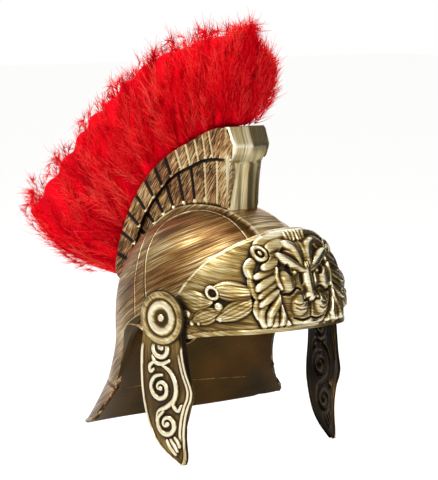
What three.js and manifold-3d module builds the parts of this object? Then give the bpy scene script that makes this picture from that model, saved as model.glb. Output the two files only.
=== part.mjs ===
// Helmet with a swinging face band, two cheek guards and a feather crest.
// Millimetres, +Z up, the face looks along -Y and the wearer's right side is -X.
// The origin is the inside of the crown, where the top of the head sits.
import * as THREE from 'three';
import { mergeVertices } from 'three/addons/utils/BufferGeometryUtils.js';
import Module from 'manifold-3d';

const wasm = await Module();
wasm.setup();

// Bowl
const bowlHalfWidth = 95;
const bowlHalfLength = 112;
const bowlHeight = 107;
const bowlFullness = 2.3;
const bowlWall = 2;
const browRise = 17;
const templeDrop = 8;
const earArchRise = 2;
const neckDepth = 60;
const waistDepth = 2;
const rimFlare = 31.5;
const rimSideDrop = 88;
const rimBackDrop = 112;
const edgeBead = 1.2;

// Raised band that runs over the bowl under the crest
const plinthHalfWidth = 19.5;
const plinthRise = 4.75;

// Crest box
const crestHeight = 75;
const crestFootHalfWidth = 18;
const crestTopHalfWidth = 22;
const crestHeadHalfWidth = 24;
const prowDepth = 3;
const grooveWidth = 2.6;
const grooveDepth = 1.6;

// Pivot at the temple, and the stack of plates on it
const pivotY = -32.4;
const pivotZ = 16.1;
const plateGap = 0.3;
const guardStandOff = 3.6;
const rivetRadius = 2.5;
const rivetClearance = 0.5;
const rivetHeadRadius = 3.7;
const rivetHeadHeight = 2.2;
const clinchRadius = 5;
const clinchThickness = 1.2;
const clinchGap = 0.9;

// Face band
const visorSideGap = 0.2;
const visorFrontGap = 5.5;
const visorHalfWidth = bowlHalfWidth + visorSideGap;
const visorHalfLength = bowlHalfLength + visorFrontGap;
const visorFullness = 2.5;
const visorTop = 96;
const visorBottom = 6;
const visorWall = 1.8;
const visorEarRadius = 14;
const lionHalfWidth = 44;
const lionHalfHeight = 46;
const lionRise = 9;
const leafHalfLength = 18;
const leafHalfWidth = 7.5;
const leafRise = 2.6;

// Cheek guards
const guardLength = 134;
const guardHalfWidth = 22;
const guardWall = 2.2;
const guardTilt = 12;
const guardCamber = 2.4;
const guardBorder = 0.9;
const scrollRise = 1.1;
const scrollWidth = 3;

// Roundels over the pivots
const roundelRadius = 24.4;
const roundelBase = 1.6;
const roundelRise = 3.4;

// Feather plume
const plumeFront = 88;
const plumeReach = 333;
const plumeRootHalf = 17;
const plumeHalf = 27;
const plumeTipHalf = 9;
const lockDepth = 4;
const lockCount = 13;

const mix = THREE.MathUtils.lerp;
const rad = THREE.MathUtils.degToRad;
const ease = THREE.MathUtils.smoothstep;
const vec = (x, y, z) => new THREE.Vector3(x, y, z);
const pace = 0.002;

// Value of each column of a table at x, on a smooth curve through its rows.
function tableAt(rows, x) {
  const last = rows.length - 1;
  const held = THREE.MathUtils.clamp(x, rows[0][0], rows[last][0]);
  let k = 0;
  while (k < last - 1 && rows[k + 1][0] < held) k += 1;
  const span = rows[k + 1][0] - rows[k][0];
  const t = (held - rows[k][0]) / span;
  const slope = (i, c) => {
    const a = Math.max(i - 1, 0);
    const b = Math.min(i + 1, last);
    return (rows[b][c] - rows[a][c]) / (rows[b][0] - rows[a][0]);
  };
  return rows[0].slice(1).map((unused, n) => {
    const c = n + 1;
    const rise = rows[k + 1][c] - rows[k][c];
    const start = slope(k, c) * span;
    const end = slope(k + 1, c) * span;
    const bend = (3 * rise - 2 * start - end) * t * t + (start + end - 2 * rise) * t * t * t;
    return rows[k][c] + start * t + bend;
  });
}

// One closed body from a list of triangles, with its faces turned out.
function closedBody(triangles) {
  const soup = new THREE.BufferGeometry();
  const numbers = triangles.flat().flatMap((p) => [p.x, p.y, p.z]);
  soup.setAttribute('position', new THREE.Float32BufferAttribute(numbers, 3));
  const merged = mergeVertices(soup, 1e-3);
  const corner = (i) => new THREE.Vector3().fromBufferAttribute(merged.attributes.position, i);
  const kept = [];
  let volume = 0;
  for (let i = 0; i < merged.index.count; i += 3) {
    const [a, b, c] = [0, 1, 2].map((n) => merged.index.getX(i + n));
    if (a === b || b === c || c === a) continue;
    kept.push([a, b, c]);
    volume += corner(a).dot(corner(b).cross(corner(c)));
  }
  const faces = volume < 0 ? kept.map(([a, b, c]) => [a, c, b]) : kept;
  merged.setIndex(faces.flat());
  return merged;
}

const quad = (a, b, c, d) => [[a, b, c], [a, c, d]];

// Closed plate between two grids of points that have the same rows and columns.
function plate(outer, inner, ring) {
  const triangles = [];
  const rows = outer.length;
  const columns = outer[0].length;
  const steps = ring ? columns : columns - 1;
  for (let j = 0; j < steps; j += 1) {
    const k = (j + 1) % columns;
    for (let i = 0; i < rows - 1; i += 1) {
      triangles.push(...quad(outer[i][j], outer[i][k], outer[i + 1][k], outer[i + 1][j]));
      triangles.push(...quad(inner[i][k], inner[i][j], inner[i + 1][j], inner[i + 1][k]));
    }
    triangles.push(...quad(outer[0][k], outer[0][j], inner[0][j], inner[0][k]));
    triangles.push(...quad(outer[rows - 1][j], outer[rows - 1][k], inner[rows - 1][k], inner[rows - 1][j]));
  }
  for (let i = 0; i < rows - 1 && !ring; i += 1) {
    const end = columns - 1;
    triangles.push(...quad(outer[i][0], outer[i + 1][0], inner[i + 1][0], inner[i][0]));
    triangles.push(...quad(outer[i + 1][end], outer[i][end], inner[i][end], inner[i + 1][end]));
  }
  return closedBody(triangles);
}

// Closed body swept through equal rings of points, with a fan over each end.
function sweep(rings) {
  const triangles = [];
  const count = rings[0].length;
  for (let i = 0; i < rings.length - 1; i += 1) {
    for (let j = 0; j < count; j += 1) {
      const k = (j + 1) % count;
      triangles.push(...quad(rings[i][j], rings[i][k], rings[i + 1][k], rings[i + 1][j]));
    }
  }
  [rings[0].toReversed(), rings.at(-1)].forEach((ring) => {
    for (let j = 1; j < count - 1; j += 1) triangles.push([ring[0], ring[j], ring[j + 1]]);
  });
  return closedBody(triangles);
}

function solidOf(geometry) {
  const vertProperties = new Float32Array(geometry.attributes.position.array);
  const triVerts = new Uint32Array(geometry.index.array);
  return new wasm.Manifold(new wasm.Mesh({ numProp: 3, vertProperties, triVerts }));
}

function geometryOf(solid) {
  const mesh = solid.getMesh();
  const geometry = new THREE.BufferGeometry();
  geometry.setAttribute('position', new THREE.BufferAttribute(mesh.vertProperties, 3));
  geometry.setIndex(new THREE.BufferAttribute(mesh.triVerts, 1));
  return geometry;
}

// Point of the bowl's outside. Turn 0 is the front. Level 1 is the crown,
// 0 the widest line, -1 the crease of the neck guard and -2 its rim.
const rimCornerCos = 0.386;

function bowlPoint(turn, level) {
  const widest = 1 / Math.hypot(Math.sin(turn) / bowlHalfWidth, Math.cos(turn) / bowlHalfLength);
  let radius = widest;
  let height = level * bowlHeight;
  if (level >= 0) {
    radius *= (1 - Math.min(level, 1) ** bowlFullness) ** (1 / bowlFullness);
  } else {
    const wall = Math.min(-level, 1);
    const out = -level - wall;
    const rear = Math.max((-Math.cos(turn) - rimCornerCos) / (1 - rimCornerCos), 0);
    const drop = mix(rimSideDrop, rimBackDrop, rear);
    radius += rimFlare * out * mix(0.6, 1, out) - waistDepth * ease(wall, 0, 1);
    height = -mix(neckDepth * wall, drop, out);
  }
  return vec(radius * Math.sin(turn), -radius * Math.cos(turn), height);
}

function normalAt(surface, u, v) {
  const across = surface(u + pace, v).sub(surface(u - pace, v));
  const along = surface(u, v + pace).sub(surface(u, v - pace));
  return across.cross(along).normalize();
}

// Half of the bowl's edge, from the middle of the brow round to the back:
// turn in degrees and level.
const brow = browRise / bowlHeight;
const temple = -templeDrop / neckDepth;
const arch = earArchRise / bowlHeight;
const edgeRows = [
  [0, brow], [22, brow], [42, brow * 0.8], [52, 0.02], [60, temple], [78, temple],
  [86, temple * 0.5], [92, arch * 0.5], [98, arch], [104, arch * 0.4], [109, -0.07], [112, -0.18],
  [114.5, -0.4], [116, -0.7], [117, -1], [114.6, -1.55], [112.7, -2], [126, -2], [152, -2], [180, -2],
];
const turnScale = 1.8;
const levelScale = 80;
const edgeSteps = 26;
const edgeCurve = new THREE.SplineCurve(
  edgeRows.map(([turn, level]) => new THREE.Vector2(turn * turnScale, level * levelScale)),
);
const edge = edgeCurve.getSpacedPoints(edgeSteps).map((p) => [rad(p.x / turnScale), p.y / levelScale]);

function makeBowl() {
  const domeRows = 8;
  const skirtTop = 0.3;
  const skirtLevels = [0.15, -0.1, -0.5, -1, -1.4, -1.8, -2];
  const domeTurn = Math.asin(skirtTop ** (bowlFullness / 2));
  const columns = [...Array(2 * edgeSteps).keys()].map((j) => {
    const left = j <= edgeSteps;
    const [turn, level] = edge[left ? j : 2 * edgeSteps - j];
    const top = (Math.PI * (left ? j : 2 * edgeSteps - j)) / edgeSteps;
    return { side: left ? 1 : -1, top, turn, level };
  });
  const outer = [];
  const inner = [];
  const addRow = (place, bead) => {
    const spots = columns.map((column) => place(column));
    const lifts = spots.map(([turn, level]) => {
      const up = level > 0.999 ? vec(0, 0, 1) : normalAt(bowlPoint, turn, level);
      return [bowlPoint(turn, level), up];
    });
    outer.push(lifts.map(([p, up]) => p.clone().addScaledVector(up, bead)));
    inner.push(lifts.map(([p, up]) => p.clone().addScaledVector(up, -bowlWall)));
  };
  for (let i = 0; i <= domeRows; i += 1) {
    const level = Math.sin(mix(Math.PI / 2, domeTurn, i / domeRows)) ** (2 / bowlFullness);
    addRow(({ side, top }) => [side * top, level], 0);
  }
  skirtLevels.forEach((rowLevel, n) => {
    const share = (skirtTop - rowLevel) / (skirtTop + 2);
    const bead = n === skirtLevels.length - 1 ? edgeBead : 0;
    addRow(({ side, top, turn, level }) => {
      const goal = mix(top, turn, ease(share, 0, 1));
      return [side * goal, mix(skirtTop, level, share)];
    }, bead);
  });
  return plate(outer, inner, true);
}

// Point on the dome at x, along a ray that leans back from the vertical.
function domePoint(x, lean, lift) {
  const field = (y, z) => {
    const plan = (x / bowlHalfWidth) ** 2 + (y / bowlHalfLength) ** 2;
    return plan ** (bowlFullness / 2) + (z / bowlHeight) ** bowlFullness;
  };
  let low = 0;
  let high = 2 * bowlHalfLength;
  for (let i = 0; i < 40; i += 1) {
    const middle = (low + high) / 2;
    if (field(middle * Math.sin(lean), middle * Math.cos(lean)) < 1) low = middle;
    else high = middle;
  }
  const spot = vec(x, low * Math.sin(lean), low * Math.cos(lean));
  const plan = ((x / bowlHalfWidth) ** 2 + (spot.y / bowlHalfLength) ** 2) ** (bowlFullness / 2 - 1);
  const normal = vec(
    (plan * x) / bowlHalfWidth ** 2,
    (plan * spot.y) / bowlHalfLength ** 2,
    (spot.z / bowlHeight) ** (bowlFullness - 1) / bowlHeight,
  ).normalize();
  return spot.addScaledVector(normal, lift);
}

// The band is full height under the crest and thin behind the face band.
function plinthLift(lean) {
  return plinthRise * mix(0.3, 1, ease(lean, rad(-58), rad(-44)));
}

function bandOverBowl(halfWidth, extra, edgeDrop) {
  const shares = [-1, -0.92, -0.45, 0, 0.45, 0.92, 1];
  const steps = 24;
  const embed = 1;
  const build = (top) => [...Array(steps + 1).keys()].map((i) => {
    const lean = mix(rad(-80), rad(79.5), i / steps);
    return shares.map((share) => {
      const rise = plinthLift(lean) + extra - (Math.abs(share) === 1 ? edgeDrop : 0);
      return domePoint(share * halfWidth, lean, top ? rise : -embed);
    });
  });
  return plate(build(true), build(false), false);
}

// Crest: lean in degrees, height of the lower tier and of the top, as shares of the crest's height.
const crestRows = [
  [-10, 0.61, 1], [2, 0.557, 0.876], [10, 0.479, 0.773], [22, 0.385, 0.663], [31, 0.285, 0.581],
  [42, 0.195, 0.491], [53, 0.115, 0.417], [64, 0.06, 0.373], [73, 0.035, 0.35], [76.5, 0.03, 0.29],
  [78.5, 0.025, 0.12],
];
const crestSeat = plinthRise + plateGap;
// The foot reaches this far below the band before the band's shape is cut out of it.
const crestSink = 4;
// The head's front face: lean in degrees and height share of the foot, step, ledge, fold and top.
const headRows = [[-16.5, 0], [-13, 0.605], [-13, 0.605], [-14.3, 0.8], [-10.6, 1]];

function crestTop(lean) {
  const [, top] = tableAt(crestRows, lean);
  return domePoint(0, rad(lean), crestSeat + top * crestHeight);
}

function makeCrest() {
  const widths = (lean) => {
    const head = mix(crestHeadHalfWidth, crestTopHalfWidth, ease(lean, -12, 6));
    const fold = (crestTopHalfWidth + head) / 2;
    return [crestFootHalfWidth, crestFootHalfWidth, crestTopHalfWidth, fold, head];
  };
  const section = (lean, spots) => spots.map(([spotLean, share], n) => {
    const half = widths(lean)[n];
    const rise = crestSeat + share * crestHeight;
    const place = (x) => {
      const seat = domePoint(0, rad(spotLean), n ? rise : plinthRise - crestSink);
      return vec(x, seat.y, seat.z);
    };
    return [place(-half), place(0), place(half)];
  });
  const front = section(-12, headRows);
  front.forEach((row) => {
    row[1].y -= prowDepth;
  });
  const sections = [front];
  for (let i = 0; i <= 20; i += 1) {
    const lean = mix(-6, 78.5, i / 20);
    const [step, top] = tableAt(crestRows, lean);
    const spots = [0, step, step, (step + top) / 2, top].map((share) => [lean, share]);
    sections.push(section(lean, spots));
  }
  const triangles = [];
  sections.slice(0, -1).forEach((now, i) => {
    const next = sections[i + 1];
    [0, 2].forEach((side) => {
      for (let n = 0; n < 4; n += 1) {
        const strip = quad(now[n][side], now[n + 1][side], next[n + 1][side], next[n][side]);
        triangles.push(...(side ? strip : strip.map((t) => t.toReversed())));
      }
    });
    [0, 1].forEach((c) => {
      triangles.push(...quad(now[4][c + 1], now[4][c], next[4][c], next[4][c + 1]));
      triangles.push(...quad(now[0][c], now[0][c + 1], next[0][c + 1], next[0][c]));
    });
  });
  [[sections[0], 1], [sections.at(-1), -1]].forEach(([rows, way]) => {
    for (let n = 0; n < 4; n += 1) {
      [0, 1].forEach((c) => {
        const strip = quad(rows[n][c], rows[n + 1][c], rows[n + 1][c + 1], rows[n][c + 1]);
        triangles.push(...(way > 0 ? strip : strip.map((t) => t.toReversed())));
      });
    }
  });
  return closedBody(triangles);
}

// Wedge that cuts one groove into the side of a tier, from its lower to its upper end.
function grooveWedge(side, half, lowLean, lowRise, highLean, highRise) {
  const rings = [[lowLean, lowRise], [highLean, highRise]].map(([lean, rise]) => {
    const turn = grooveWidth / 2 / (bowlHeight + rise);
    const at = (offset, x) => {
      const spot = domePoint(0, rad(lean) + offset, rise);
      return vec(side * x, spot.y, spot.z);
    };
    return [at(0, half - grooveDepth), at(turn * 2, half + grooveDepth), at(-turn * 2, half + grooveDepth)];
  });
  return sweep(rings);
}

function crestGrooves() {
  const wedges = [];
  const margin = 3;
  [-1, 1].forEach((side) => {
    for (let i = 0; i < 12; i += 1) {
      const lean = -2.4 + 4.2 * i + 0.2 * i * i;
      const low = lean - 2.4 + 0.15 * i;
      const [step] = tableAt(crestRows, low);
      const [, top] = tableAt(crestRows, lean);
      const lowRise = crestSeat + step * crestHeight - margin;
      const highRise = crestSeat + top * crestHeight - margin;
      wedges.push(grooveWedge(side, crestTopHalfWidth, low, lowRise, lean, highRise));
    }
    for (let i = 0; i < 8; i += 1) {
      const lean = -5.3 + 8.3 * i;
      const [step] = tableAt(crestRows, lean);
      const highRise = crestSeat + step * crestHeight - 0.2;
      wedges.push(grooveWedge(side, crestFootHalfWidth, lean - 1.2, crestSeat + 0.5, lean, highRise));
    }
  });
  return wedges;
}

// Face band, as a surface over turn in degrees from the front and height.
// Columns: height as a share of the band's top, half-width share, half-length share.
const visorRows = [
  [-0.1, 1, 1.002], [0.06, 1, 1], [0.17, 1, 0.992], [0.38, 0.99, 0.972], [0.52, 0.96, 0.94],
  [0.7, 0.84, 0.895], [0.85, 0.7, 0.835], [1, 0.56, 0.757],
];
// Columns: turn in degrees, bottom and top edge as shares of the band's top.
const earTurn = THREE.MathUtils.radToDeg(Math.acos((-pivotY / visorHalfLength) ** (visorFullness / 2)));
const earEnd = 83.2;
const pivotShare = pivotZ / visorTop;
const earShare = visorEarRadius / visorTop;
const bandRows = [
  [-1, visorBottom / visorTop, 1], [15, 0.06, 0.985], [30, 0.05, 0.935], [45, 0.04, 0.855],
  [59, 0.012, 0.71], [67, -0.015, 0.53], [73, pivotShare - earShare * 1.1, 0.38],
  ...[[earTurn, 1], [82, 0.72], [earEnd, 0.4]].map(([turn, size]) => (
    [turn, pivotShare - earShare * size, pivotShare + earShare * size]
  )),
];

function visorPoint(turn, share) {
  const [wide, long] = tableAt(visorRows, share);
  const power = 2 / visorFullness;
  const across = Math.sign(turn) * Math.abs(Math.sin(turn)) ** power;
  const along = Math.abs(Math.cos(turn)) ** power;
  return vec(visorHalfWidth * wide * across, -visorHalfLength * long * along, share * visorTop);
}

const dome = (x, y, halfX, halfY) => Math.max(0, 1 - (x / halfX) ** 2 - (y / halfY) ** 2);

// Relief of the lion's mask at the middle of the band: u across and v up from its centre,
// as shares of the mask's half-width and half-height.
function lionRelief(u, v) {
  const reach = Math.hypot(u, v);
  if (reach > 1.15) return 0;
  const side = Math.abs(u);
  const tufts = 0.5 + 0.5 * Math.cos(13 * Math.atan2(u, v));
  const mane = ease(1.12 - reach, 0, 0.28) * (0.45 + 0.2 * tufts * ease(reach, 0.4, 0.8));
  const face = 0.55 * dome(u, v + 0.04, 0.61, 0.72) ** 0.6;
  const brows = 0.35 * dome(side - 0.25, v - 0.26, 0.23, 0.13);
  const nose = 0.5 * dome(u, v + 0.02, 0.16, 0.46) + 0.35 * dome(u, v + 0.3, 0.23, 0.17);
  const jowls = 0.5 * dome(side - 0.2, v + 0.48, 0.23, 0.2);
  const eyes = -0.35 * dome(side - 0.3, v - 0.07, 0.16, 0.11);
  const ears = 0.4 * dome(side - 0.7, v - 0.61, 0.2, 0.2);
  return lionRise * Math.min(1.25, mane + face + brows + nose + jowls + eyes + ears);
}

// Leaves beside the mask: turn in degrees, height as a share of the band's top,
// length as a share of the longest leaf, and tilt in degrees.
const leafRows = [
  [62.7, 0.34, 1.00, -2], [39.8, 0.44, 0.97, 2], [57.7, 0.22, 0.89, -22], [37.0, 0.29, 1.00, -24],
];

function leafRelief(turn, height) {
  let rise = 0;
  const perDegree = rad((visorHalfWidth + visorHalfLength) / 2);
  leafRows.forEach(([leafTurn, share, size, tilt]) => {
    const along = (turn - leafTurn) * perDegree;
    const up = height - share * visorTop;
    const u = along * Math.cos(rad(tilt)) + up * Math.sin(rad(tilt));
    const v = up * Math.cos(rad(tilt)) - along * Math.sin(rad(tilt));
    rise = Math.max(rise, Math.sqrt(dome(u, v, leafHalfLength * size, leafHalfWidth)));
  });
  return leafRise * rise;
}

function makeVisor() {
  const fine = [0, 4, 8, 12, 16, 20, 24, 28];
  const coarse = [32, 36.5, 41, 46, 51, 56, 61, 65.5, 70, 74, earTurn, 80.5, 82.2, earEnd];
  const half = [...fine, ...coarse];
  const turns = [...half.slice(1).toReversed().map((t) => -t), ...half];
  const shares = [0, 0.05, 0.13, 0.21, 0.3, 0.39, 0.48, 0.57, 0.66, 0.75, 0.84, 0.93, 1];
  const lionCentre = visorTop / 2 - 2;
  const outer = [];
  const inner = [];
  shares.forEach((across) => {
    const spots = turns.map((turn) => {
      const [low, high] = tableAt(bandRows, Math.abs(turn));
      const share = mix(low, high, across);
      const up = normalAt(visorPoint, rad(turn), share);
      const spot = visorPoint(rad(turn), share);
      const rim = across === 0 || across === 1;
      const border = rim ? 0 : ease(Math.min(across, 1 - across), 0, 0.12);
      const z = share * visorTop;
      const lion = lionRelief(spot.x / lionHalfWidth, (z - lionCentre) / lionHalfHeight);
      return { spot, up, relief: border * Math.max(lion, leafRelief(Math.abs(turn), z)) };
    });
    const lifted = (rise) => spots.map(({ spot, up, relief }) => (
      spot.clone().addScaledVector(up, rise > 0 ? rise + relief : rise)
    ));
    outer.push(lifted(visorWall / 2));
    inner.push(lifted(-visorWall / 2));
  });
  return plate(outer, inner, false);
}

// The pivot line crosses the middle of the face band's ear. A frame stands there:
// out of the head, forwards along the guard, and up.
function pivotFrame(side) {
  const seat = visorPoint(rad(earTurn), pivotShare);
  const tilt = rad(guardTilt);
  return {
    centre: vec(side * seat.x, pivotY, pivotZ),
    out: vec(side * Math.cos(tilt), -Math.sin(tilt), 0),
    forward: vec(-side * Math.sin(tilt), -Math.cos(tilt), 0),
    up: vec(0, 0, 1),
  };
}

function framePoint(frame, forward, up, out) {
  return frame.centre.clone()
    .addScaledVector(frame.forward, forward)
    .addScaledVector(frame.up, up)
    .addScaledVector(frame.out, out);
}

// Cheek guard: height above the pivot as a share of its length, back and front edge
// as shares of its half-width at the top.
const guardRows = [
  [-1, 0.88, 1.1], [-0.975, 0.61, 1.17], [-0.93, 0.08, 1.19], [-0.86, -0.44, 1.14], [-0.78, -0.76, 1.11],
  [-0.7, -0.96, 1.16], [-0.61, -1.12, 1.3], [-0.54, -1.18, 1.49], [-0.48, -1.21, 1.53], [-0.37, -1.2, 1.28],
  [-0.24, -1.17, 1.08], [-0.1, -1.05, 1.0], [0, -1, 1], [0.06, -0.93, 0.93], [0.11, -0.75, 0.75],
  [0.145, -0.47, 0.47], [0.16, -0.2, 0.2],
];

function guardCamberAt(back, front, s, share) {
  const half = (front - back) / 2;
  const off = (s - (front + back) / 2) / half;
  return -guardCamber * off * off * ease(-share, 0.3, 0.62);
}

function guardPoint(frame, s, share, rise) {
  const [back, front] = tableAt(guardRows, share).map((v) => v * guardHalfWidth);
  const camber = guardCamberAt(back, front, s, share);
  return framePoint(frame, s, share * guardLength, guardStandOff + guardWall + camber + rise);
}

function makeGuard(frame) {
  const across = [0, 0.06, 0.14, 0.38, 0.62, 0.86, 0.94, 1];
  const shares = guardRows.map((row) => row[0]);
  const build = (rise) => shares.map((share) => {
    const [back, front] = tableAt(guardRows, share).map((v) => v * guardHalfWidth);
    return across.map((a) => {
      const border = Math.abs(a - 0.5) > 0.4 && share < -0.18 ? guardBorder : 0;
      return guardPoint(frame, mix(back, front, a), share, rise ? border : -guardWall);
    });
  });
  return plate(build(true), build(false), false);
}

// Scrolls on the guard: centre forwards and down as shares of the guard's half-width and
// length, first and last radius as shares of the half-width, first and last angle in degrees.
const scrollRows = [
  [-0.12, -0.25, 0.1, 0.28, 420, 60], [-0.19, -0.487, 0.12, 0.72, 560, 60],
  [0.16, -0.71, 0.1, 0.5, 560, 250], [0.58, -0.875, 0.1, 0.28, 380, 90],
];

function makeScroll(frame, [forward, up, first, last, start, end]) {
  const steps = Math.ceil(Math.abs(start - end) / 40);
  const centre = [forward * guardHalfWidth, up * guardLength];
  const spot = (t) => {
    const radius = guardHalfWidth * mix(first, last, t);
    const angle = rad(mix(start, end, t));
    return [centre[0] + radius * Math.cos(angle), centre[1] + radius * Math.sin(angle)];
  };
  const rings = [...Array(steps + 1).keys()].map((i) => {
    const t = i / steps;
    const [s, h] = spot(t);
    const [sNext, hNext] = spot(t + pace);
    const length = Math.hypot(sNext - s, hNext - h);
    const side = [(hNext - h) / length, -(sNext - s) / length];
    const corner = (off, rise) => {
      const wide = (off * scrollWidth) / 2;
      return guardPoint(frame, s + side[0] * wide, (h + side[1] * wide) / guardLength, rise);
    };
    return [corner(-1, -guardWall / 3), corner(0, scrollRise), corner(1, -guardWall / 3)];
  });
  return sweep(rings);
}

// Turned piece on the pivot's axis: radius and distance out from the pivot's centre.
function turned(frame, profile, segments) {
  const lathe = new THREE.LatheGeometry(profile.map(([r, h]) => new THREE.Vector2(r, h)), segments);
  lathe.deleteAttribute('normal');
  lathe.deleteAttribute('uv');
  lathe.applyMatrix4(new THREE.Matrix4().makeBasis(frame.forward, frame.out, frame.up));
  lathe.translate(frame.centre.x, frame.centre.y, frame.centre.z);
  const at = (i) => new THREE.Vector3().fromBufferAttribute(lathe.attributes.position, lathe.index.getX(i));
  const triangles = [];
  for (let i = 0; i < lathe.index.count; i += 3) triangles.push([at(i), at(i + 1), at(i + 2)]);
  return closedBody(triangles);
}

const roundelSeat = guardStandOff + guardWall + plateGap;
const holeRadius = rivetRadius + rivetClearance;

function makeRoundel(frame) {
  const profile = [
    [holeRadius, 0], [1, 0], [1, 0.62], [0.93, 1], [0.82, 1], [0.76, 0.55], [0.63, 0.55],
    [0.57, 1], [0.45, 1], [0.36, 0.47], [holeRadius, 0.47],
  ].map(([r, h]) => [r === holeRadius ? r : r * roundelRadius, roundelSeat + h * roundelRise]);
  return turned(frame, [...profile, profile[0]], 18);
}

function makeRivet(frame, wallInside) {
  const dish = roundelSeat + roundelBase + plateGap;
  const inside = wallInside - clinchGap;
  return turned(frame, [
    [0, inside - clinchThickness], [clinchRadius, inside - clinchThickness], [clinchRadius, inside],
    [rivetRadius, inside], [rivetRadius, dish], [rivetHeadRadius, dish],
    [rivetHeadRadius * 0.8, dish + rivetHeadHeight * 0.7], [0, dish + rivetHeadHeight],
  ], 12);
}

function pivotHole(frame) {
  const reach = 30;
  return turned(frame, [[0, -reach], [holeRadius, -reach], [holeRadius, reach], [0, reach]], 12);
}

// Distance out from the pivot's centre to the inside of the bowl's wall.
function wallInsideAt(frame) {
  const level = pivotZ / bowlHeight;
  const plan = (1 - level ** bowlFullness) ** (1 / bowlFullness);
  const spanX = bowlHalfWidth * Math.sqrt(plan ** 2 - (pivotY / bowlHalfLength) ** 2);
  return (spanX - Math.abs(frame.centre.x)) * Math.cos(rad(guardTilt)) - bowlWall;
}

// Plume: along the crest from front to rear, where the feathers' tips end.
// Columns: share along the crest, tip's distance back and up as shares of the two reaches.
const plumeRows = [
  [0, -0.033, 0.98], [0.1, 0.04, 1], [0.2, 0.135, 0.98], [0.3, 0.234, 0.87], [0.4, 0.34, 0.78],
  [0.5, 0.46, 0.56], [0.6, 0.565, 0.28], [0.7, 0.67, 0.05], [0.8, 0.766, -0.29], [0.9, 0.886, -0.69],
  [1, 1, -1.09],
];
// Columns: share out from the root, half-thickness as a share between root, middle and tip.
const plumeSection = [[0, 0], [0.14, 0.72], [0.36, 1], [0.6, 0.94], [0.82, 0.66], [0.95, 0.34]];

function makePlume() {
  const steps = lockCount * 3;
  const rings = [];
  for (let i = 0; i <= steps; i += 1) {
    const t = i / steps;
    const lean = mix(-10.4, 77, t);
    const root = crestTop(lean);
    const outward = vec(0, Math.sin(rad(lean)), Math.cos(rad(lean)));
    root.addScaledVector(outward, plateGap);
    const [back, up] = tableAt(plumeRows, t);
    const head = crestTop(-10);
    const tip = vec(0, head.y + back * plumeReach, head.z + up * plumeFront);
    const lock = [-1, 0.9, 0.1][i % 3];
    const reach = tip.clone().sub(root);
    const length = reach.length();
    const bulge = i === 0 ? 0.72 : 1;
    const row = plumeSection.map(([out, thick], n) => {
      const wide = n === 0 ? plumeRootHalf : mix(plumeTipHalf, plumeHalf, thick);
      const half = (wide + (n ? lock * lockDepth * 0.5 : 0)) * bulge;
      const sag = Math.sin(Math.PI * out) * length * mix(0.1, -0.06, t);
      const ragged = n > 2 ? (lock * lockDepth) / length : 0;
      const spot = root.clone().addScaledVector(reach, out * (1 + ragged));
      spot.y -= sag * (t < 0.5 ? 1 : 0.4);
      spot.z += t > 0.6 ? sag * 0.9 : 0;
      return { spot, half };
    });
    const end = root.clone().addScaledVector(reach, 1 + (2 * lock * lockDepth) / length);
    const left = row.map(({ spot, half }) => vec(-half, spot.y, spot.z));
    const right = row.map(({ spot, half }) => vec(half, spot.y, spot.z));
    rings.push([...left, end, ...right.toReversed(), root.clone()]);
  }
  return sweep(rings);
}

const gold = { color: 0x8f7742, roughness: 0.42, metalness: 0.85 };
const darkGold = { color: 0x6f5b33, roughness: 0.5, metalness: 0.8 };
const paleGold = { color: 0xb9a26a, roughness: 0.35, metalness: 0.85 };
const feather = { color: 0xd0101c, roughness: 0.95, metalness: 0 };

const helmet = new THREE.Group();
const assembly = new THREE.Group();
assembly.position.z = bowlWall - bowlHeight;
helmet.add(assembly);

function addPiece(name, geometry, finish) {
  const mesh = new THREE.Mesh(geometry, new THREE.MeshStandardMaterial(finish));
  mesh.name = name;
  mesh.geometry.computeVertexNormals();
  assembly.add(mesh);
}

const sides = { right: -1, left: 1 };
const frames = Object.fromEntries(Object.entries(sides).map(([name, side]) => [name, pivotFrame(side)]));
const holes = Object.values(frames).map((frame) => solidOf(pivotHole(frame)));
const drilled = (solid) => geometryOf(holes.reduce((rest, hole) => rest.subtract(hole), solid));

const plinth = solidOf(bandOverBowl(plinthHalfWidth, 0, 1));
addPiece('bowl', drilled(solidOf(makeBowl()).add(plinth)), gold);
const seat = solidOf(bandOverBowl(plinthHalfWidth + 6, plateGap, 0));
const cuts = [seat, ...crestGrooves().map(solidOf)];
const crest = cuts.reduce((rest, cut) => rest.subtract(cut), solidOf(makeCrest()));
addPiece('crest_box', geometryOf(crest), darkGold);
addPiece('plume', makePlume(), feather);
addPiece('visor', drilled(solidOf(makeVisor())), paleGold);
Object.entries(frames).forEach(([name, frame]) => {
  const scrolls = scrollRows.map((row) => solidOf(makeScroll(frame, row)));
  const guard = scrolls.reduce((rest, scroll) => rest.add(scroll), solidOf(makeGuard(frame)));
  addPiece(`cheek_guard_${name}`, drilled(guard), gold);
  addPiece(`roundel_${name}`, makeRoundel(frame), paleGold);
  addPiece(`pivot_rivet_${name}`, makeRivet(frame, wallInsideAt(frame)), paleGold);
});

export default helmet;
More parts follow.
